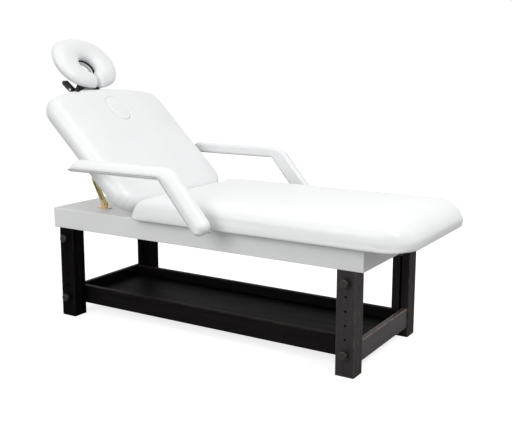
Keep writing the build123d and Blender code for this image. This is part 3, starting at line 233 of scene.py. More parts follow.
def skin(name, field, low, high, step, place=None):
    """Meshes the zero surface of a field with surface nets, then drops each point onto it."""
    lines = [np.arange(a - 1.5 * step, b + 2.5 * step, step) for a, b in zip(low, high)]
    grid = np.meshgrid(*lines, indexing="ij")
    value = field(*grid)
    inside = value < 0
    cells = tuple(n - 1 for n in value.shape)
    total = np.zeros(cells + (3,))
    count = np.zeros(cells, int)
    for axis in range(3):
        near, far = neighbours(axis)
        a, b = value[near], value[far]
        crosses = inside[near] != inside[far]
        share = np.where(crosses, a / np.where(a == b, 1, a - b), 0)
        point = np.stack([g[near] for g in grid], -1)
        point[..., axis] += share * step
        point *= crosses[..., None]
        others = [k for k in range(3) if k != axis]
        for first in (0, 1):
            for second in (0, 1):
                cut = [slice(None)] * 3
                for k, low_side in zip(others, (first, second)):
                    cut[k] = slice(0, cells[k]) if low_side else slice(1, cells[k] + 1)
                total += point[tuple(cut)]
                count += crosses[tuple(cut)]
    used = count > 0
    number = np.full(cells, -1)
    number[used] = np.arange(used.sum())
    points = total[used] / count[used][:, None]
    faces = []
    for axis in range(3):
        near, far = neighbours(axis)
        crosses = inside[near] != inside[far]
        first, second = [(1, 2), (2, 0), (0, 1)][axis]
        index = np.argwhere(crosses)
        keep = (index[:, first] > 0) & (index[:, second] > 0)
        keep &= (index[:, first] < cells[first]) & (index[:, second] < cells[second])
        index = index[keep]
        corners = []
        for back_first, back_second in ((1, 1), (0, 1), (0, 0), (1, 0)):
            at = index.copy()
            at[:, first] -= back_first
            at[:, second] -= back_second
            corners.append(number[tuple(at.T)])
        quads = np.stack(corners, -1)
        leaving = inside[near][tuple(index.T)]
        quads[~leaving] = quads[~leaving][:, ::-1]
        faces.append(quads)
    faces = np.concatenate(faces)
    points = onto(points, field, step)
    placed = points if place is None else place(points)
    return new_object(name, placed * MM, faces)


def onto(points, field, step):
    """Moves points along the field's slope onto its zero surface."""
    rounds, probe, least_steepness = 4, 0.25, 0.05
    for _ in range(rounds):
        here = field(*points.T)
        slope = np.stack([(field(*(points + probe * unit).T) - here) / probe for unit in np.eye(3)], -1)
        steepness = np.maximum((slope ** 2).sum(-1), least_steepness)
        move = -(here / steepness)[:, None] * slope
        length = np.linalg.norm(move, axis=1)
        move *= np.minimum(1, 0.5 * step / np.maximum(length, TINY))[:, None]
        points = points + move
    return points


CLOTH_FRAMES = 20


def settle(obj, pressure, cap, held):
    """Lets the cover stretch over its filling as cloth, moves no point further than cap, and keeps the result."""
    rest = coordinates(obj)
    group = obj.vertex_groups.new(name="held")
    for index in np.nonzero(held(rest / MM))[0]:
        group.add([int(index)], 1.0, "REPLACE")
    cloth = obj.modifiers.new("Cloth", "CLOTH")
    settings = cloth.settings
    settings.quality = 4
    settings.mass = 0.4
    settings.use_pressure = True
    settings.uniform_pressure_force = pressure
    settings.tension_stiffness = 12
    settings.compression_stiffness = 12
    settings.shear_stiffness = 6
    settings.bending_stiffness = 0.4
    settings.vertex_group_mass = group.name
    settings.effector_weights.gravity = 0
    cloth.collision_settings.use_collision = False
    for number in range(1, CLOTH_FRAMES + 1):
        bpy.context.scene.frame_set(number)
    graph = bpy.context.evaluated_depsgraph_get()
    moved = obj.evaluated_get(graph).to_mesh()
    co = np.empty(len(moved.vertices) * 3)
    moved.vertices.foreach_get("co", co)
    obj.evaluated_get(graph).to_mesh_clear()
    obj.modifiers.remove(cloth)
    obj.vertex_groups.clear()
    bpy.context.scene.frame_set(1)
    move = co.reshape(-1, 3) - rest
    length = np.linalg.norm(move, axis=1)
    limit = cap * MM
    allowed = limit * np.tanh(length / limit)
    move *= (allowed / np.maximum(length, TINY))[:, None]
    put(obj, rest + move)


def coordinates(obj):
    co = np.empty(len(obj.data.vertices) * 3)
    obj.data.vertices.foreach_get("co", co)
    return co.reshape(-1, 3)


def put(obj, co):
    obj.data.vertices.foreach_set("co", co.astype(np.float32).ravel())
    obj.data.update()


def tube(name, points, radius):
    """A round bead along an open line of points in the shared frame, in millimetres."""
    curve = bpy.data.curves.new(name, "CURVE")
    curve.dimensions = "3D"
    curve.bevel_depth = radius * MM
    curve.bevel_resolution = 3
    spline = curve.splines.new("POLY")
    spline.points.add(len(points) - 1)
    for target, point in zip(spline.points, points):
        target.co = (*(np.asarray(point) * MM), 1)
    curve.use_fill_caps = True
    raw = add_object(name + "_line", curve)
    bpy.context.view_layer.update()
    mesh = bpy.data.meshes.new_from_object(raw.evaluated_get(bpy.context.evaluated_depsgraph_get()))
    bpy.data.objects.remove(raw)
    mesh.polygons.foreach_set("use_smooth", [True] * len(mesh.polygons))
    return add_object(name, mesh)


# ---- Materials ----
NOISE_RANGE = (0.3, 0.7)


def scaled(tone, share):
    return tuple(c * share for c in tone)


class Shader:
    """A small helper that builds one material's nodes."""

    def __init__(self, name):
        self.material = bpy.data.materials.new(name)
        self.material.use_nodes = True
        self.tree = self.material.node_tree
        self.surface = self.tree.nodes["Principled BSDF"]
        self.where = self.add("ShaderNodeTexCoord").outputs["Object"]
        self.facing = self.where.node.outputs["Normal"]
        self.height = None

    def add(self, kind, **values):
        node = self.tree.nodes.new(kind)
        for key, value in values.items():
            setattr(node, key, value)
        return node

    def link(self, source, target):
        self.tree.links.new(source, target)

    def stretched(self, scale):
        node = self.add("ShaderNodeMapping")
        node.inputs["Scale"].default_value = scale
        self.link(self.where, node.inputs["Vector"])
        return node.outputs[0]

    def noise(self, scale, stretch=(1, 1, 1), *, detail, roughness=0.5, distortion=0.0):
        node = self.add("ShaderNodeTexNoise")
        for key, number in zip(("Scale", "Detail", "Roughness", "Distortion"), (scale, detail, roughness, distortion)):
            node.inputs[key].default_value = number
        self.link(self.stretched(stretch), node.inputs["Vector"])
        return node.outputs["Fac"]

    def cells(self, scale):
        node = self.add("ShaderNodeTexVoronoi", feature="SMOOTH_F1")
        node.inputs["Scale"].default_value = scale
        self.link(self.where, node.inputs["Vector"])
        return node.outputs["Distance"]

    def math(self, operation, *inputs):
        node = self.add("ShaderNodeMath", operation=operation)
        for socket, value in zip(node.inputs, inputs):
            if isinstance(value, (int, float)):
                socket.default_value = value
            else:
                self.link(value, socket)
        return node.outputs[0]

    def dot(self, vector, normal):
        node = self.add("ShaderNodeVectorMath", operation="DOT_PRODUCT")
        self.link(vector, node.inputs[0])
        node.inputs[1].default_value = normal
        return node.outputs["Value"]

    def span(self, value, low, high, to_low, to_high):
        node = self.add("ShaderNodeMapRange")
        for key, number in zip(("From Min", "From Max", "To Min", "To Max"), (low, high, to_low, to_high)):
            node.inputs[key].default_value = number
        self.link(value, node.inputs["Value"])
        return node.outputs[0]

    def spread(self, noise, to_low, to_high):
        """Maps the range in which most of a noise's values lie."""
        return self.span(noise, *NOISE_RANGE, to_low, to_high)

    def mix(self, share, first, second):
        node = self.add("ShaderNodeMix", data_type="RGBA", blend_type="MIX")
        for socket, value in ((node.inputs[0], share), (node.inputs[6], first), (node.inputs[7], second)):
            if isinstance(value, tuple):
                socket.default_value = (*value, 1)
            elif isinstance(value, (int, float)):
                socket.default_value = value
            else:
                self.link(value, socket)
        return node.outputs[2]

    def colour(self, source):
        self.link(source, self.surface.inputs["Base Color"])

    def rough(self, source):
        self.link(source, self.surface.inputs["Roughness"])

    def bump(self, source, depth, strength):
        node = self.add("ShaderNodeBump")
        node.inputs["Strength"].default_value = strength
        node.inputs["Distance"].default_value = depth
        self.link(source, node.inputs["Height"])
        if self.height is not None:
            self.link(self.height, node.inputs["Normal"])
        self.height = node.outputs[0]
        self.link(self.height, self.surface.inputs["Normal"])

    def fixed(self, **values):
        """Sets the surface's own inputs, with _ for each space in a name."""
        for key, value in values.items():
            self.surface.inputs[key.replace("_", " ")].default_value = value


def vinyl_material(name, tone):
    """Soft vinyl with cloudy tone, fine grain and shallow creases."""
    s = Shader(name)
    cloudy = s.noise(5.0, detail=4)
    fine = s.cells(760.0)
    shade = s.mix(s.spread(cloudy, 0, 1), scaled(tone, 0.965), tone)
    creased = s.mix(s.span(fine, 0.25, 0.75, 0.0, 0.5), shade, scaled(tone, 0.93))
    s.colour(creased)
    s.rough(s.spread(s.noise(38.0, detail=5), 0.29, 0.41))
    s.bump(cloudy, 0.0012, 0.35)
    s.bump(s.noise(55.0, detail=3), 0.00035, 0.35)
    s.bump(fine, 0.00012, 0.5)
    s.fixed(IOR=1.5, Specular_IOR_Level=0.5)
    return s.material


WORN_EDGE = (0.0005, 0.0055)


def wood_material(name, axis, node, dark, light, wear, gloss):
    """Stained timber with its grain along one axis and slight wear along the edges of its own box."""
    s = Shader(name)
    grain_along, grain_across, pores_along, pores_across = 2.2, 34.0, 14.0, 420.0
    grain_stretch = tuple(grain_along if k == axis else grain_across for k in range(3))
    grain = s.noise(1.0, grain_stretch, detail=7, roughness=0.62, distortion=0.6)
    pore_stretch = tuple(pores_along if k == axis else pores_across for k in range(3))
    pores = s.noise(1.0, pore_stretch, detail=3, roughness=0.7)
    base = s.mix(s.span(grain, 0.32, 0.7, 0, 1), dark, light)
    base = s.mix(s.span(pores, 0.52, 0.68, 0, 0.55), base, scaled(dark, 0.45))
    low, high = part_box(node)
    split = s.add("ShaderNodeSeparateXYZ")
    s.link(s.where, split.inputs[0])
    gaps = []
    for k in range(3):
        centre, half = (low[k] + high[k]) / 2, (high[k] - low[k]) / 2
        off = s.math("ABSOLUTE", s.math("SUBTRACT", split.outputs[k], centre))
        gaps.append(s.math("SUBTRACT", half, off))
    smaller = s.math("MINIMUM", gaps[0], gaps[1])
    larger = s.math("MAXIMUM", gaps[0], gaps[1])
    second = s.math("MAXIMUM", smaller, s.math("MINIMUM", larger, gaps[2]))
    edge = s.span(second, *WORN_EDGE, 1, 0)
    patchy = s.span(s.noise(26.0, detail=4), 0.4, 0.65, 0.1, 0.8)
    base = s.mix(s.math("MULTIPLY", edge, patchy), base, wear)
    s.colour(base)
    s.rough(s.spread(grain, 0.46, 0.60))
    s.bump(grain, 0.0006, 0.25)
    s.bump(pores, 0.00025, 0.4)
    s.fixed(IOR=1.5, Specular_IOR_Level=gloss)
    return s.material


def ply_material(name, normal, tone):
    """Plywood whose cut edges show their layers. Normal is the sheet's own normal."""
    s = Shader(name)
    layers_per_metre = 330.0
    height = s.dot(s.where, normal)
    on_face = s.math("ABSOLUTE", s.dot(s.facing, normal))
    grain = s.noise(1.0, (3.0, 46.0, 46.0), detail=6, roughness=0.6, distortion=0.8)
    plain = s.mix(s.spread(grain, 0, 1), scaled(tone, 0.78), tone)
    layers = s.math("FRACT", s.math("MULTIPLY", height, layers_per_metre))
    cut = s.mix(s.span(layers, 0.45, 0.55, 0, 1), scaled(tone, 0.5), scaled(tone, 0.9))
    s.colour(s.mix(s.span(on_face, 0.4, 0.6, 0, 1), cut, plain))
    s.rough(s.spread(grain, 0.55, 0.72))
    s.bump(grain, 0.0004, 0.4)
    return s.material


def metal_material(name, tone, rough, spots=0.06):
    """Metal with a cloudy tone and fine uneven gloss. Spots is how much darker its clouds are."""
    s = Shader(name)
    cloud = s.noise(30.0, detail=4)
    s.colour(s.mix(s.spread(cloud, 0, 1), scaled(tone, 1 - spots), tone))
    lines = s.noise(1.0, (120.0, 120.0, 120.0), detail=4, roughness=0.7)
    s.rough(s.spread(lines, rough * 0.8, rough * 1.3))
    s.bump(lines, 0.00008, 0.3)
    s.fixed(Metallic=1.0)
    return s.material


def plastic_material(name, tone, rough, grain=1400.0):
    """Moulded plastic or powder coat with a fine grain."""
    s = Shader(name)
    cloud = s.noise(24.0, detail=3)
    s.colour(s.mix(s.spread(cloud, 0, 1), tone, scaled(tone, 1.35)))
    s.rough(s.spread(s.noise(90.0, detail=3), rough * 0.85, rough * 1.15))
    s.bump(s.cells(grain), 0.00006, 0.35)
    s.fixed(IOR=1.48)
    return s.material


def fabric_material(name, tone):
    """A thin spun cloth with a fine weave."""
    s = Shader(name)
    threads = s.noise(1.0, (900.0, 900.0, 900.0), detail=2)
    s.colour(s.mix(s.spread(threads, 0, 1), scaled(tone, 0.6), tone))
    s.rough(s.spread(s.noise(60.0, detail=3), 0.8, 0.95))
    s.bump(threads, 0.00015, 0.6)
    s.fixed(Specular_IOR_Level=0.2)
    return s.material


WHITE = (0.80, 0.805, 0.81)
DARK, BROWN, WORN = (0.0088, 0.0075, 0.0082), (0.0192, 0.0162, 0.0172), (0.092, 0.062, 0.047)
PLY_TONE, PLY_BACK_TONE = (0.66, 0.54, 0.39), (0.66, 0.61, 0.54)
BACK_NORMAL = (math.sin(BACK_TILT), 0, math.cos(BACK_TILT))

VINYL = vinyl_material("white_vinyl", WHITE)
PLY_FLAT = ply_material("plywood_flat", (0, 0, 1), PLY_TONE)
PLY_SIDE = ply_material("plywood_side", (0, 1, 0), PLY_TONE)
PLY_END = ply_material("plywood_end", (1, 0, 0), PLY_TONE)
PLY_BACK = ply_material("plywood_back", BACK_NORMAL, PLY_BACK_TONE)
STEEL = metal_material("bright_steel", (0.60, 0.60, 0.61), 0.26)
ZINC = metal_material("yellow_zinc", (0.93, 0.84, 0.50), 0.22, spots=0.12)
# A shaded copy of the yellow zinc: painted shade on the upper stays.
ZINC_SHADED = metal_material("yellow_zinc_shaded", (0.30, 0.24, 0.09), 0.30, spots=0.35)
ZINC_ROSY = metal_material("yellow_zinc_rosy", (0.88, 0.66, 0.42), 0.28, spots=0.18)
BLACK_OXIDE = metal_material("black_oxide_steel", (0.09, 0.085, 0.085), 0.4)
# Painted shade of the stays' slots: a dark olive.
SLOT_SHADE = metal_material("slot_shadow_olive", (0.035, 0.030, 0.008), 0.5)
BLACK = plastic_material("black_plastic", (0.008, 0.0075, 0.0075), 0.5)
KNOB = plastic_material("knob_plastic", (0.016, 0.012, 0.011), 0.42)
# A shaded copy of the knob plastic: painted shade on the knobs of the head legs.
KNOB_SHADED = plastic_material("knob_plastic_dark", (0.006, 0.0052, 0.005), 0.5)
# White powder coat made grey: painted shade on the armrest brackets.
COATED_SHADED = plastic_material("powder_coated_white_shaded", (0.34, 0.34, 0.34), 0.5, grain=900.0)
# A grey thread line: painted shade in the armrests' seams.
SEAM_SHADE = fabric_material("seam_shadow_thread", (0.30, 0.30, 0.31))
# A black sheet: painted shade under the seat's overhang.
SHADE_SHEET = fabric_material("black_shade_sheet", (0.012, 0.012, 0.013))


def dress(obj, material):
    obj.data.materials.clear()
    obj.data.materials.append(material)
    for polygon in obj.data.polygons:
        polygon.material_index = 0


def wood_on(node, axis, tone, gloss):
    """Dresses a board in stained timber. Boards differ in tone and gloss as painted light and shade: lit and shaded
    copies of one stain.
    """
    dark, light, wear = (scaled(colour, tone) for colour in (DARK, BROWN, WORN))
    dress(NODES[node], wood_material("wood_" + node, axis, node, dark, light, wear, gloss))


# Tone and gloss of the boards, as painted light and shade. The head legs, the side rails, the shelf, its battens and
# its head rail get deep painted shade; the foot legs and the foot end rail get painted light.
LEG_PAINTED_LIGHT_AND_SHADE = {"front_head": (0.28, 0.03), "front_foot": (1.35, 0.32),
             "rear_head": (0.2, 0.02), "rear_foot": (1.3, 0.16)}
END_RAIL_PAINTED_LIGHT_AND_SHADE = {"head": (0.25, 0.05), "foot": (4.2, 0.5)}
SIDE_RAIL_PAINTED_SHADE, SHELF_PAINTED_SHADE, BATTEN_PAINTED_SHADE = (0.55, 0.05), (0.22, 0.03), (0.25, 0.05)

for corner, painted_look in LEG_PAINTED_LIGHT_AND_SHADE.items():
    wood_on("leg_inner_" + corner, 2, *painted_look)
    wood_on("leg_outer_" + corner, 2, *painted_look)
    for level in ("lower", "upper"):
        # The head legs' knobs take the shaded copy of the plastic: painted shade.
        dress(NODES["knob_%s_%s" % (corner, level)], KNOB if corner.endswith("foot") else KNOB_SHADED)
for end, painted_look in END_RAIL_PAINTED_LIGHT_AND_SHADE.items():
    wood_on("shelf_end_rail_" + end, 1, *painted_look)
    dress(NODES["box_end_rail_" + end], PLY_END)
for side_name, _ in SIDES:
    wood_on("shelf_side_rail_" + side_name, 0, *SIDE_RAIL_PAINTED_SHADE)
    dress(NODES["box_side_rail_" + side_name], PLY_SIDE)
    # The brackets' grey is painted shade.
    dress(NODES["armrest_bracket_" + side_name], COATED_SHADED)
    dress(NODES["stay_lower_" + side_name], ZINC)
    # The upper stays take the shaded zinc: painted shade.
    dress(NODES["stay_upper_" + side_name], ZINC_SHADED)
wood_on("shelf_panel", 0, *SHELF_PAINTED_SHADE)
wood_on("shelf_battens", 0, *BATTEN_PAINTED_SHADE)
for node in ("deck_panel", "cross_rails", "corner_blocks", "seat_board"):
    dress(NODES[node], PLY_FLAT)
for node in ("backrest_board", "backrest_rails", "face_plug_board"):
    dress(NODES[node], PLY_BACK)
for node in ("stay_foot_brackets", "stay_top_brackets"):
    dress(NODES[node], ZINC_ROSY)
for node in ("leg_bolts", "clamp_nuts"):
    dress(NODES[node], BLACK_OXIDE)
for node in ("shelf_screws", "backrest_hinge_arms", "backrest_hinge_ears", "headrest_sockets", "headrest_rods"):
    dress(NODES[node], STEEL)
for node in ("headrest_platform", "headrest_lever"):
    dress(NODES[node], BLACK)


# ---- Painted shade of the slots in the stays' strips: thin dark plates on the strips' faces ----
STAY_FOOT_X, STAY_FOOT_Z = -556.0 + SHIFT_X, 517.0
STAY_Y, STAY_LEAN = 203.0, math.radians(117.0)
STRIP_FACE, SLOT_SUNK, SLOT_PROUD = 8.5, 0.2, 0.25
# Where each slot starts and ends along the strip, how far it is off the middle line, and its end radius.
STAY_SLOTS = ((22, 60, 0.8, 1.7), (66, 112, -0.6, 3.1), (20, 74, 7.0, 1.3))


def plate(name, outline, y_near, y_far):
    """A flat plate of an x-z outline between two values of y."""
    edge = np.array(outline)
    x, z = edge.T
    if x @ np.roll(z, -1) < z @ np.roll(x, -1):
        edge = edge[::-1]
    count = len(edge)
    vertices = [(x, y, z) for y in sorted((y_near, y_far)) for x, z in edge]
    faces = [(i, count + i, count + (i + 1) % count, (i + 1) % count) for i in range(count)]
    faces += [tuple(range(count)), tuple(range(count, 2 * count))[::-1]]
    return new_object(name, np.array(vertices) * MM, faces, smooth=False)


def plate_along(name, start, end, radius, y_near, y_far):
    """A thin plate with round ends between two points of the x-z plane."""
    steps = 8
    run = math.atan2(end[1] - start[1], end[0] - start[0])
    edge = []
    for centre, first in ((end, run - math.pi / 2), (start, run + math.pi / 2)):
        for step in range(steps + 1):
            angle = first + math.pi * step / steps
            edge.append((centre[0] + radius * math.cos(angle), centre[1] + radius * math.sin(angle)))
    return plate(name, edge, y_near, y_far)


def stay_point(along, off):
    """The x and z of a place on a lower stay."""
    return (STAY_FOOT_X + along * math.cos(STAY_LEAN) + off * math.sin(STAY_LEAN),
            STAY_FOOT_Z + along * math.sin(STAY_LEAN) - off * math.cos(STAY_LEAN))


for side_name, side in SIDES:
    for face, way in (("inner", -1), ("outer", 1)):
        surface_y = side * (STAY_Y + way * STRIP_FACE)
        outward = side * way
        for number, (low, high, off, radius) in enumerate(STAY_SLOTS):
            shade_plate = plate_along("stay_slot_%s_%s_%d" % (side_name, face, number),
                               stay_point(low, off), stay_point(high, off), radius,
                               surface_y - outward * SLOT_SUNK, surface_y + outward * SLOT_PROUD)
            dress(shade_plate, SLOT_SHADE)
            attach(shade_plate, "stay_lower_" + side_name)


# ---- Seat pad ----
# A pad's profile says how far its skin lies inside the outline, and how high. It closes DEEP inside the pad.
DEEP = 420.0
CROWN_ROOM = 3.0


def pad_profile(points):
    return np.vstack([curve_through(points), [(DEEP, points[0][1])]])


SEAT_PROFILE = pad_profile([
    (3.2, -0.3), (0.9, 3.6), (0.1, 12), (0, 30), (3.3, 53.5), (9.9, 70.6), (22, 85.6), (39.6, 96.3),
    (68, 103.3), (126, 107.6), (210, 109), (300, 109.3), (DEEP, 109.3)])
SEAT_HEAD_PROFILE = pad_profile([
    (8.0, -0.3), (2.6, 4.6), (1.8, 12), (5.5, 22), (13, 33), (28, 51), (50, 69), (73, 84.4),
    (97, 95), (120, 103.4), (184, 107.8), (280, 109.2), (DEEP, 109.3)])
SEAT_FOOT_PROFILE = pad_profile([
    (22.0, -0.3), (13, 5.4), (8.4, 14), (6.6, 26), (8, 38), (15, 54), (30, 71), (50, 85),
    (76, 95.4), (110, 102.8), (170, 107.4), (260, 109.2), (DEEP, 109.3)])
SEAT_END_BLEND = 55.0
WAVE_DEPTH, WAVE_PITCH, WAVE_HEIGHT, WAVE_SPREAD = 0.8, 6.5, 40.0, 24.0
WAVE_DRIFT, WAVE_FADE, WAVE_REACH = 260.0, 170.0, 3.0
SEAT_PRESSURE, SEAT_CAP, SEAT_HELD_HEIGHT = 2.5, 3.0, 7.0


def seat_field(x, y, z):
    """The pad's sides are nearly upright with soft waves, and its two ends roll over much more."""
    inset = -slab_distance(x, y, SEAT_HEAD_X, SEAT_FOOT_X, SEAT_HALF, SEAT_HEAD_CORNER, SEAT_FOOT_CORNER)
    from_end = np.minimum(x - SEAT_HEAD_X, SEAT_FOOT_X - x)
    end = 0.5 + 0.5 * np.tanh((SEAT_HALF - np.abs(y) - from_end) / SEAT_END_BLEND)
    height = z - SEAT_BOTTOM
    band = np.exp(-((height - WAVE_HEIGHT) / WAVE_SPREAD) ** 2)
    waves = np.sin(height / WAVE_PITCH + 1.5 * np.sin(x / WAVE_DRIFT)) * band
    fade = 0.55 + 0.45 * np.sin(x / WAVE_FADE + 1.0)
    inset = inset - WAVE_DEPTH * waves * fade * np.clip(inset / WAVE_REACH + 1.0, 0, 1)
    side_form = polygon_distance(inset, height, SEAT_PROFILE)
    middle = (SEAT_HEAD_X + SEAT_FOOT_X) / 2
    end_form = np.where(x < middle, polygon_distance(inset, height, SEAT_HEAD_PROFILE),
                        polygon_distance(inset, height, SEAT_FOOT_PROFILE))
    return side_form + (end_form - side_form) * end


seat = skin("seat_pad", seat_field, (SEAT_HEAD_X, -SEAT_HALF, SEAT_BOTTOM),
            (SEAT_FOOT_X, SEAT_HALF, SEAT_BOTTOM + SEAT_HEIGHT + CROWN_ROOM), SEAT_STEP)
settle(seat, SEAT_PRESSURE, SEAT_CAP, lambda p: p[:, 2] < SEAT_BOTTOM + SEAT_HELD_HEIGHT)
dress(seat, VINYL)
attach(seat, "bed_frame")
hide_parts("seat_cushion")


# ---- Backrest pad ----
UNDER_PAD = -90.0
TRAY_ROUND, PLUG_ROUND, POCKET_ROUND = 10.0, 5.0, 5.0


def back_profile():
    """A half round edge that runs over into a low crown."""
    shares = np.linspace(-1.0, 0.8, 25)
    side = [(BACK_HALF * (1 - math.sqrt(max(0, 1 - s * s))), BACK_HALF * s) for s in shares]
    crown = curve_through([side[-1], (32, 47.4), (54, 50.6), (98, 52.4), (200, 53.2), (DEEP, 53.4)])
    return np.vstack([side[:-1], crown, [(DEEP, -BACK_HALF)]])


def back_outline():
    """The backrest seen flat: a foot end with round corners and an arched head end."""
    foot_steps, steps = 6, 10
    corner_y = BACK_HALF_WIDTH - BACK_HEAD_CORNER
    arch_x = BACK_HEAD_ARCH - BACK_LENGTH
    corner_x = arch_x - math.sqrt((BACK_HEAD_ARCH - BACK_HEAD_CORNER) ** 2 - corner_y ** 2)
    turn = math.atan2(corner_y, arch_x - corner_x)
    foot_x, foot_y = BACK_FOOT_REACH - BACK_FOOT_CORNER, BACK_HALF_WIDTH - BACK_FOOT_CORNER
    arcs = ((foot_x, foot_y, 1, BACK_FOOT_CORNER, np.linspace(0, math.pi / 2, foot_steps)),
            (corner_x, corner_y, -1, BACK_HEAD_CORNER, np.linspace(math.pi / 2, turn, steps)),
            (arch_x, 0.0, -1, BACK_HEAD_ARCH, np.linspace(turn, 0, steps)[1:]))
    half = [(x + way * radius * math.cos(angle), y + radius * math.sin(angle))
            for x, y, way, radius, angles in arcs for angle in angles]
    return np.array(half + [(x, -y) for x, y in half[-2::-1]])


BACK_PROFILE = back_profile()
BACK_OUTLINE = back_outline()
PLUG_HOLE = oval_points(PLUG_HALF_LENGTH + PLUG_GAP, PLUG_HALF_WIDTH + PLUG_GAP, PLUG_HALF_WIDTH, -PLUG_PLACE)


def back_field(x, y, z):
    """The pad with its hollows for the board, the plug, the hinge arms and the ring's sockets."""
    inset = -polygon_distance(x, y, BACK_OUTLINE)
    pad = polygon_distance(inset, z, BACK_PROFILE)
    tray = box_distance(x, y, z, (TRAY_HEAD_X, -TRAY_HALF_WIDTH, UNDER_PAD), (TRAY_FOOT_X, TRAY_HALF_WIDTH, TRAY_TOP))
    pad = smooth_max(pad, -tray, TRAY_ROUND)
    pad = smooth_max(pad, -polygon_distance(x, y, PLUG_HOLE), PLUG_ROUND)
    for way in (-1, 1):
        pocket = box_distance(x, y, z, (HINGE_POCKET_REACH, way * HINGE_Y - HINGE_POCKET_HALF, UNDER_PAD),
                              (HINGE_EYE, way * HINGE_Y + HINGE_POCKET_HALF, HINGE_EYE))
        pad = smooth_max(pad, -pocket, POCKET_ROUND)
        bore = np.hypot(y - way * SOCKET_Y, z - SOCKET_LIFT) - SOCKET_RADIUS
        pad = np.maximum(pad, -np.maximum(bore, x + SOCKET_START))
    return pad


back = skin("backrest_pad", back_field, (-BACK_LENGTH, -BACK_HALF_WIDTH, -BACK_HALF),
            (BACK_FOOT_REACH, BACK_HALF_WIDTH, BACK_HALF + CROWN_ROOM), BACK_STEP, back_place)
dress(back, VINYL)
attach(back, "backrest")
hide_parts("backrest_cushion")


# ---- Plug of the face hole ----
PLUG_LOW, PLUG_HIGH, PLUG_DEEP = -4.0, 56.0, 80.0
PLUG_OUTLINE = oval_points(PLUG_HALF_LENGTH, PLUG_HALF_WIDTH, PLUG_HALF_WIDTH, -PLUG_PLACE)
PLUG_TOP = curve_through([(0, 47), (0.6, 50.6), (2.8, 52.8), (7, 53.7), (20, 54.1), (42, 54.3), (PLUG_DEEP, 54.4)])
PLUG_PROFILE = np.vstack([[(0, PLUG_LOW)], PLUG_TOP, [(PLUG_DEEP, PLUG_LOW)]])


def plug_field(x, y, z):
    return polygon_distance(-polygon_distance(x, y, PLUG_OUTLINE), z, PLUG_PROFILE)


plug = skin("face_plug_pad", plug_field, (-PLUG_PLACE - PLUG_HALF_LENGTH, -PLUG_HALF_WIDTH, PLUG_LOW),
            (-PLUG_PLACE + PLUG_HALF_LENGTH, PLUG_HALF_WIDTH, PLUG_HIGH), PLUG_STEP, back_place)
dress(plug, VINYL)
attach(plug, "face_plug")
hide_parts("face_plug_cushion")


# ---- Armrests ----
def arm_outline():
    """The armrest's side view, rounded, and its corners before that."""
    top = ARM_UNDERSIDE + ARM_THICKNESS
    along = (math.cos(ARM_SLOPE), -math.sin(ARM_SLOPE))
    out = (math.sin(ARM_SLOPE), math.cos(ARM_SLOPE))
    drop = ARM_UNDERSIDE + out[1] * ARM_SLOPE_WIDTH / 2 - ARM_PIVOT_HEIGHT + along[1] * ARM_SLOPE_WIDTH / 2
    run = drop / math.sin(ARM_SLOPE) + ARM_SLOPE_WIDTH - ARM_END_TRIM
    inner = (ARM_BEND_X + along[0] * run, ARM_UNDERSIDE + along[1] * run)
    outer = (inner[0] + out[0] * ARM_SLOPE_WIDTH + along[0] * ARM_END_DROP,
             inner[1] + out[1] * ARM_SLOPE_WIDTH + along[1] * ARM_END_DROP)
    rise = (top - outer[1]) / math.sin(ARM_SLOPE)
    bend = (outer[0] - along[0] * rise, top)
    tip_low, tip_front = ((ARM_TIP_X + x, ARM_UNDERSIDE + z) for x, z in (ARM_TIP_LOW, ARM_TIP_FRONT))
    corners = [tip_low, (ARM_BEND_X, ARM_UNDERSIDE), inner, outer, bend, (ARM_TIP_X + ARM_TIP_RUN, top), tip_front]
    return rounded_outline(corners, ARM_RADII), corners


ARM_OUTLINE, ARM_CORNERS = arm_outline()
ARM_DEEP, ARM_BLEND = 60.0, 9.0
# Profiles through the armrest, from its inner face round the edge to its outer face, as (inset, depth).
ARM_INNER_EDGE = np.vstack([[(ARM_DEEP, -1.1)],
                            curve_through([(12, -1.1), (6.5, 0.4), (2.6, 3.8), (0.6, 8.6), (0, 14)], 4)])
ARM_CRISP = np.vstack([ARM_INNER_EDGE, curve_through([(0, 28), (1.4, 35), (5.2, 43.5), (10.4, 51.4), (12.6, 53.6)]),
                       curve_through([(12.6, 53.6), (17, 54.9), (26, 55.7), (42, 56), (ARM_DEEP, 56.1)])[1:]])
ARM_SOFT = np.vstack([ARM_INNER_EDGE, curve_through([(0, 16), (1.4, 26), (5, 35.5), (11, 43.5), (19, 49.6),
                                                     (28, 53.4), (40, 55.4), (ARM_DEEP, 56.1)])])


def chain_distance(px, py, chain):
    """Distance to an open line of points."""
    gap = np.full(px.shape, np.inf)
    for (ax, ay), (bx, by) in zip(chain[:-1], chain[1:]):
        run, rise = bx - ax, by - ay
        along = np.clip(((px - ax) * run + (py - ay) * rise) / (run * run + rise * rise + TINY), 0, 1)
        gap = np.minimum(gap, np.hypot(px - ax - along * run, py - ay - along * rise))
    return gap


def arm_field_for(side):
    """The underside keeps a crisp outer edge, and the top rolls over into the outer face."""
    tip_low, bend_low, inner, outer, bend, tip_high, tip_front = ARM_CORNERS

    def field(x, y, z):
        inset = -polygon_distance(x, z, ARM_OUTLINE)
        below = chain_distance(x, z, [tip_low, bend_low, inner])
        above = chain_distance(x, z, [outer, bend, tip_high, tip_front])
        soft = 0.5 + 0.5 * np.tanh((below - above) / ARM_BLEND)
        depth = side * y - ARM_INNER_Y
        crisp_form = polygon_distance(inset, depth, ARM_CRISP)
        return crisp_form + (polygon_distance(inset, depth, ARM_SOFT) - crisp_form) * soft
    return field


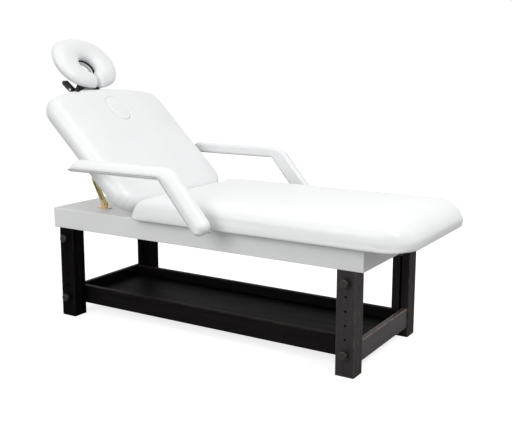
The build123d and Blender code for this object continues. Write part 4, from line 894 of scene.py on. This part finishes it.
def inset_line(outline, inset):
    """A closed outline drawn in by an inset, point by point."""
    before, after = np.roll(outline, 1, axis=0), np.roll(outline, -1, axis=0)
    run = after - before
    run /= np.maximum(np.linalg.norm(run, axis=1), TINY)[:, None]
    normal = np.stack([-run[:, 1], run[:, 0]], -1)
    if polygon_distance(*(outline[:1] + normal[:1] * 0.5).T, outline)[0] > 0:
        normal = -normal
    return outline + normal * inset


def nearest(line, point):
    """The number of the line's point that is nearest to an x-z point."""
    return int(np.argmin(np.hypot(line[:, 0] - point[0], line[:, 1] - point[1])))


ARM_ROOM = 2.0
BOARD_INSET, BOARD_NEAR, BOARD_FAR = 12.0, 0.4, 12.0
# Beads along the outer face's crisp edge: name, inset, distance from the inner face, radius, material.
# The seam bead is a grey line of painted shade beside the welt.
ARM_BEADS = (("welt", 12.2, 53.2, 1.7, VINYL), ("seam", 15.2, 54.6, 0.9, SEAM_SHADE))
BEAD_TIP = (ARM_TIP_X + 14.0, ARM_UNDERSIDE + 8.0)
BEAD_END = (ARM_CORNERS[2][0] - 20.0, ARM_CORNERS[2][1] + 30.0)

for side_name, side in SIDES:
    ys = sorted((side * ARM_INNER_Y, side * (ARM_INNER_Y + ARM_WIDTH + ARM_ROOM)))
    arm = skin("armrest_pad_" + side_name, arm_field_for(side), (ARM_TIP_X, ys[0], ARM_OUTLINE[:, 1].min()),
               (ARM_OUTLINE[:, 0].max(), ys[1], ARM_UNDERSIDE + ARM_THICKNESS), ARM_STEP)
    dress(arm, VINYL)
    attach(arm, "armrest_" + side_name)
    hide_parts("armrest_cushion_" + side_name)
    board = plate("armrest_board_" + side_name, inset_line(ARM_OUTLINE, BOARD_INSET),
                  side * (ARM_INNER_Y + BOARD_NEAR), side * (ARM_INNER_Y + BOARD_FAR))
    dress(board, PLY_SIDE)
    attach(board, "armrest_" + side_name)
    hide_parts("armrest_core_" + side_name)
    for bead, inset, out, radius, finish in ARM_BEADS:
        line = inset_line(ARM_OUTLINE, inset)
        start, end = sorted((nearest(line, BEAD_TIP), nearest(line, BEAD_END)))
        piece = tube("armrest_%s_%s" % (bead, side_name),
                     [(x, side * (ARM_INNER_Y + out), z) for x, z in line[start:end + 1]], radius)
        dress(piece, finish)
        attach(piece, "armrest_" + side_name)


# ---- Face ring ----
RING_OUTLINE = oval_points(RING_HALF_LENGTH, RING_HALF_WIDTH, RING_END_RADIUS, 0.0, 32)
HOLE_OUTLINE = oval_points(HOLE_HALF_LENGTH, HOLE_HALF_WIDTH, HOLE_HALF_LENGTH, HOLE_SHIFT, 24)
RING_ROUND, SLIT_ROUND, SLIT_HALF, EDGE_BLEND, RING_SWELL = 58.0, 26.0, 1.0, 16.0, 2.0
GATHER_PLACE, GATHER_SPREAD, GATHER_DEPTH, GATHER_TOP = 12.0, 24.0, 1.1, 12.0


def ring_field(x, y, z):
    """A round oval roll, split at its lower end, with gathers around the hole."""
    outer = -polygon_distance(x, y, RING_OUTLINE)
    hole = polygon_distance(x, y, HOLE_OUTLINE)
    edge = -smooth_max(-outer, -hole, EDGE_BLEND)
    turn = np.arctan2(y, x - HOLE_SHIFT)
    gather = np.exp(-((np.maximum(hole, 0) - GATHER_PLACE) / GATHER_SPREAD) ** 2)
    folds = np.sin(15 * turn + 1.3 * np.sin(3 * turn + 0.7)) * (0.6 + 0.4 * np.sin(2 * turn + 2.1))
    top = np.clip(z / GATHER_TOP, 0, 1)
    first = np.maximum(1 - edge / RING_ROUND, 0)
    second = np.maximum(1 - (np.abs(y) - SLIT_HALF) / SLIT_ROUND, 0) * (x > HOLE_SHIFT)
    thick = RING_HALF + RING_SWELL - GATHER_DEPTH * folds * gather * top
    return (np.sqrt(first ** 2 + second ** 2 + (z / thick) ** 2) - 1) * RING_HALF * 0.8


ring = skin("face_ring_pad", ring_field, (-RING_HALF_LENGTH, -RING_HALF_WIDTH, -RING_HALF - RING_SWELL),
            (RING_HALF_LENGTH, RING_HALF_WIDTH, RING_HALF + CROWN_ROOM), RING_STEP, ring_place)
dress(ring, VINYL)
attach(ring, "headrest_pad")
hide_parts("headrest_cushion")


def bands(loops, closed):
    """Quads between equal loops of points that follow each other, and back to the first one if closed."""
    levels, count = len(loops), len(loops[0])
    pairs = [(level, (level + 1) % levels) for level in range(levels if closed else levels - 1)]
    return [(low * count + i, high * count + i, high * count + (i + 1) % count, low * count + (i + 1) % count)
            for low, high in pairs for i in range(count)]


# The collar is a short tube inside the hole: each loop's distance outside the hole, and its height.
COLLAR_LOW, COLLAR_HIGH, COLLAR_GAP, COLLAR_WALL = -40.0, -22.0, 0.4, 2.6
COLLAR_LOOPS = ((COLLAR_GAP, COLLAR_HIGH), (COLLAR_GAP, COLLAR_LOW + 1), (COLLAR_WALL, COLLAR_LOW),
                (COLLAR_WALL, COLLAR_HIGH))
collar_loops = [[(x, y, height) for x, y in oval_points(HOLE_HALF_LENGTH + out, HOLE_HALF_WIDTH + out,
                                                        HOLE_HALF_LENGTH, HOLE_SHIFT, 24)]
                for out, height in COLLAR_LOOPS]
collar = new_object("face_ring_collar", ring_place(np.concatenate(collar_loops)) * MM, bands(collar_loops, True))
dress(collar, VINYL)
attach(collar, "headrest_pad")


# ---- Cover of the bed box ----
def loop_points(x0, x1, half, low_corner, high_corner, height, steps):
    """A closed rounded rectangle, counterclockwise from its high end."""
    points = []
    turns = ((x1 - high_corner, 1, high_corner), (x0 + low_corner, 1, low_corner),
             (x0 + low_corner, -1, low_corner), (x1 - high_corner, -1, high_corner))
    for number, (cx, way, radius) in enumerate(turns):
        for step in range(steps + 1):
            angle = math.radians(90 * number + 90 * step / steps)
            points.append((cx + radius * math.cos(angle), way * (half - radius) + radius * math.sin(angle), height))
    return points


# Rings of the cover from the middle of its top, over the edge and down, to its hem underneath: inset, height.
COVER_RINGS = ((60, 499.3), (14, 499.3), (6, 499.2), (2.6, 498.7), (0.9, 497.3), (0.1, 494.5), (0, 490), (0.1, 470),
               (0.3, 440), (0.1, 416), (0.2, 412.5), (0.9, 410.4), (2.6, 409.4), (6, 409.2), (22, 409.3),
               (23, 409.8), (22.6, 410.6))
COVER_CORNER, LEAST_CORNER, COVER_STEPS = 5.0, 0.5, 6
cover_loops = []
for inset, height in COVER_RINGS:
    radius = max(COVER_CORNER - inset, LEAST_CORNER)
    cover_loops.append(loop_points(-BOX_HALF_LENGTH + SHIFT_X + inset, BOX_HALF_LENGTH + SHIFT_X - inset,
                                   BOX_HALF_WIDTH - inset, radius, radius, height, COVER_STEPS))
cover_top = [tuple(range(len(cover_loops[0])))]
cover = new_object("bed_box_cover", np.concatenate(cover_loops) * MM, bands(cover_loops, False) + cover_top)
dress(cover, VINYL)
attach(cover, "bed_frame")
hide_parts("box_cover")


# ---- A black sheet under the seat's overhang: painted shade that deepens the dark line under the seat's edge ----
CLOTH_HIGH, CLOTH_LOW, CLOTH_EDGE, CLOTH_STEPS = 499.65, 499.35, 7.0, 8
# Both edges of the cloth: head end, foot end, half width, head corners, foot corners.
CLOTH_OUTER = (SEAT_HEAD_X + 9.0, SEAT_FOOT_X - 24.0, SEAT_HALF - CLOTH_EDGE,
               SEAT_HEAD_CORNER, SEAT_FOOT_CORNER - 14.0)
CLOTH_INNER = (SEAT_HEAD_X + 60.0, BOX_HALF_LENGTH + SHIFT_X - 32.0, BOX_HALF_WIDTH - 28.0, 4.0, 4.0)
cloth_loops = [loop_points(*edge, height, CLOTH_STEPS)
               for edge, height in ((CLOTH_INNER, CLOTH_HIGH), (CLOTH_OUTER, CLOTH_HIGH),
                                    (CLOTH_OUTER, CLOTH_LOW), (CLOTH_INNER, CLOTH_LOW))]
shade_sheet = new_object("seat_shade_sheet", np.concatenate(cloth_loops) * MM, bands(cloth_loops, True), smooth=False)
dress(shade_sheet, SHADE_SHEET)
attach(shade_sheet, "bed_frame")


# ---- Floor, light and camera ----
FLOOR_REACH, FLOOR_TONE, FLOOR_ROUGHNESS, FLOOR_GLOW = 9.0, 0.42, 0.8, 0.80
# The world's light rises from its third to its fourth number as the height of the direction goes from 0 to 0.9.
WORLD_LIGHT = (0.0, 0.9, 0.36, 0.745)
# Each lamp's place, what it points at, its width in metres and its power in watts.
LAMPS = {"key": ((-0.5, -3.6, 2.1), (0.1, 0, 0.5), 2.2, 47),
         "top": ((0.4, -0.2, 3.4), (0.2, 0, 0.5), 2.4, 17),
         "foot": ((2.7, -1.0, 3.1), (0.2, 0, 0.6), 1.1, 47)}


def add_floor():
    """A pale floor that keeps the object's shadow and looks white to the camera."""
    mesh = bpy.data.meshes.new("floor")
    mesh.from_pydata([(x * FLOOR_REACH, y * FLOOR_REACH, 0) for x, y in ((-1, -1), (1, -1), (1, 1), (-1, 1))],
                     [], [(0, 1, 2, 3)])
    floor = add_object("floor", mesh)
    material = bpy.data.materials.new("floor")
    material.use_nodes = True
    tree = material.node_tree
    surface = tree.nodes["Principled BSDF"]
    surface.inputs["Base Color"].default_value = (FLOOR_TONE, FLOOR_TONE, FLOOR_TONE, 1)
    surface.inputs["Roughness"].default_value = FLOOR_ROUGHNESS
    path = tree.nodes.new("ShaderNodeLightPath")
    glow = tree.nodes.new("ShaderNodeMath")
    glow.operation = "MULTIPLY"
    glow.inputs[1].default_value = FLOOR_GLOW
    tree.links.new(path.outputs["Is Camera Ray"], glow.inputs[0])
    surface.inputs["Emission Color"].default_value = (1, 1, 1, 1)
    tree.links.new(glow.outputs[0], surface.inputs["Emission Strength"])
    mesh.materials.append(material)


def add_world():
    """Soft light from all round, which the camera, glass and metal see as plain white."""
    world = bpy.data.worlds.new("studio")
    bpy.context.scene.world = world
    world.use_nodes = True
    tree = world.node_tree
    tree.nodes.clear()
    add, link = tree.nodes.new, tree.links.new
    out = add("ShaderNodeOutputWorld")
    soft, plain = add("ShaderNodeBackground"), add("ShaderNodeBackground")
    for background in (soft, plain):
        background.inputs[0].default_value = (1, 1, 1, 1)
    plain.inputs[1].default_value = 1.0
    split = add("ShaderNodeSeparateXYZ")
    link(add("ShaderNodeTexCoord").outputs["Generated"], split.inputs[0])
    ramp = add("ShaderNodeMapRange")
    ramp.interpolation_type = "SMOOTHSTEP"
    for key, number in zip(("From Min", "From Max", "To Min", "To Max"), WORLD_LIGHT):
        ramp.inputs[key].default_value = number
    link(split.outputs[2], ramp.inputs["Value"])
    link(ramp.outputs[0], soft.inputs[1])
    path = add("ShaderNodeLightPath")
    shown = path.outputs["Is Camera Ray"]
    for ray in ("Is Transmission Ray", "Is Glossy Ray"):
        either = add("ShaderNodeMath")
        either.operation = "MAXIMUM"
        link(shown, either.inputs[0])
        link(path.outputs[ray], either.inputs[1])
        shown = either.outputs[0]
    mixed = add("ShaderNodeMixShader")
    link(shown, mixed.inputs[0])
    link(soft.outputs[0], mixed.inputs[1])
    link(plain.outputs[0], mixed.inputs[2])
    link(mixed.outputs[0], out.inputs[0])


def add_lamp(name, position, target, size, energy):
    light = bpy.data.lights.new(name, "AREA")
    light.shape = "DISK"
    light.size = size
    light.energy = energy
    obj = add_object(name, light)
    obj.location = position
    obj.rotation_euler = (Vector(target) - Vector(position)).to_track_quat("-Z", "Y").to_euler()


def add_camera():
    """The photograph's own view, found from the table's straight edges."""
    place = (1.93470, -2.94172, 1.18542)
    yaw, pitch, roll = 0.54683, 0.17296, 0.00303
    width, height, sensor = 512, 421, 36.0
    focal_px, centre_x, centre_y = 819.853, 261.714, 197.538
    forward = Vector((-math.sin(yaw) * math.cos(pitch), math.cos(yaw) * math.cos(pitch), -math.sin(pitch)))
    level = Vector((math.cos(yaw), math.sin(yaw), 0))
    upright = level.cross(forward)
    right = level * math.cos(roll) + upright * math.sin(roll)
    up = upright * math.cos(roll) - level * math.sin(roll)
    data = bpy.data.cameras.new("camera")
    data.sensor_width = sensor
    data.lens = focal_px * sensor / width
    data.shift_x = -(centre_x - width / 2) / width
    data.shift_y = (centre_y - height / 2) / width
    obj = add_object("camera", data)
    obj.matrix_world = Matrix.Translation(place) @ Matrix((right, up, -forward)).transposed().to_4x4()
    bpy.context.scene.camera = obj


add_floor()
add_world()
for name, settings in LAMPS.items():
    add_lamp(name, *settings)
add_camera()
bpy.context.scene.view_settings.view_transform = "Standard"
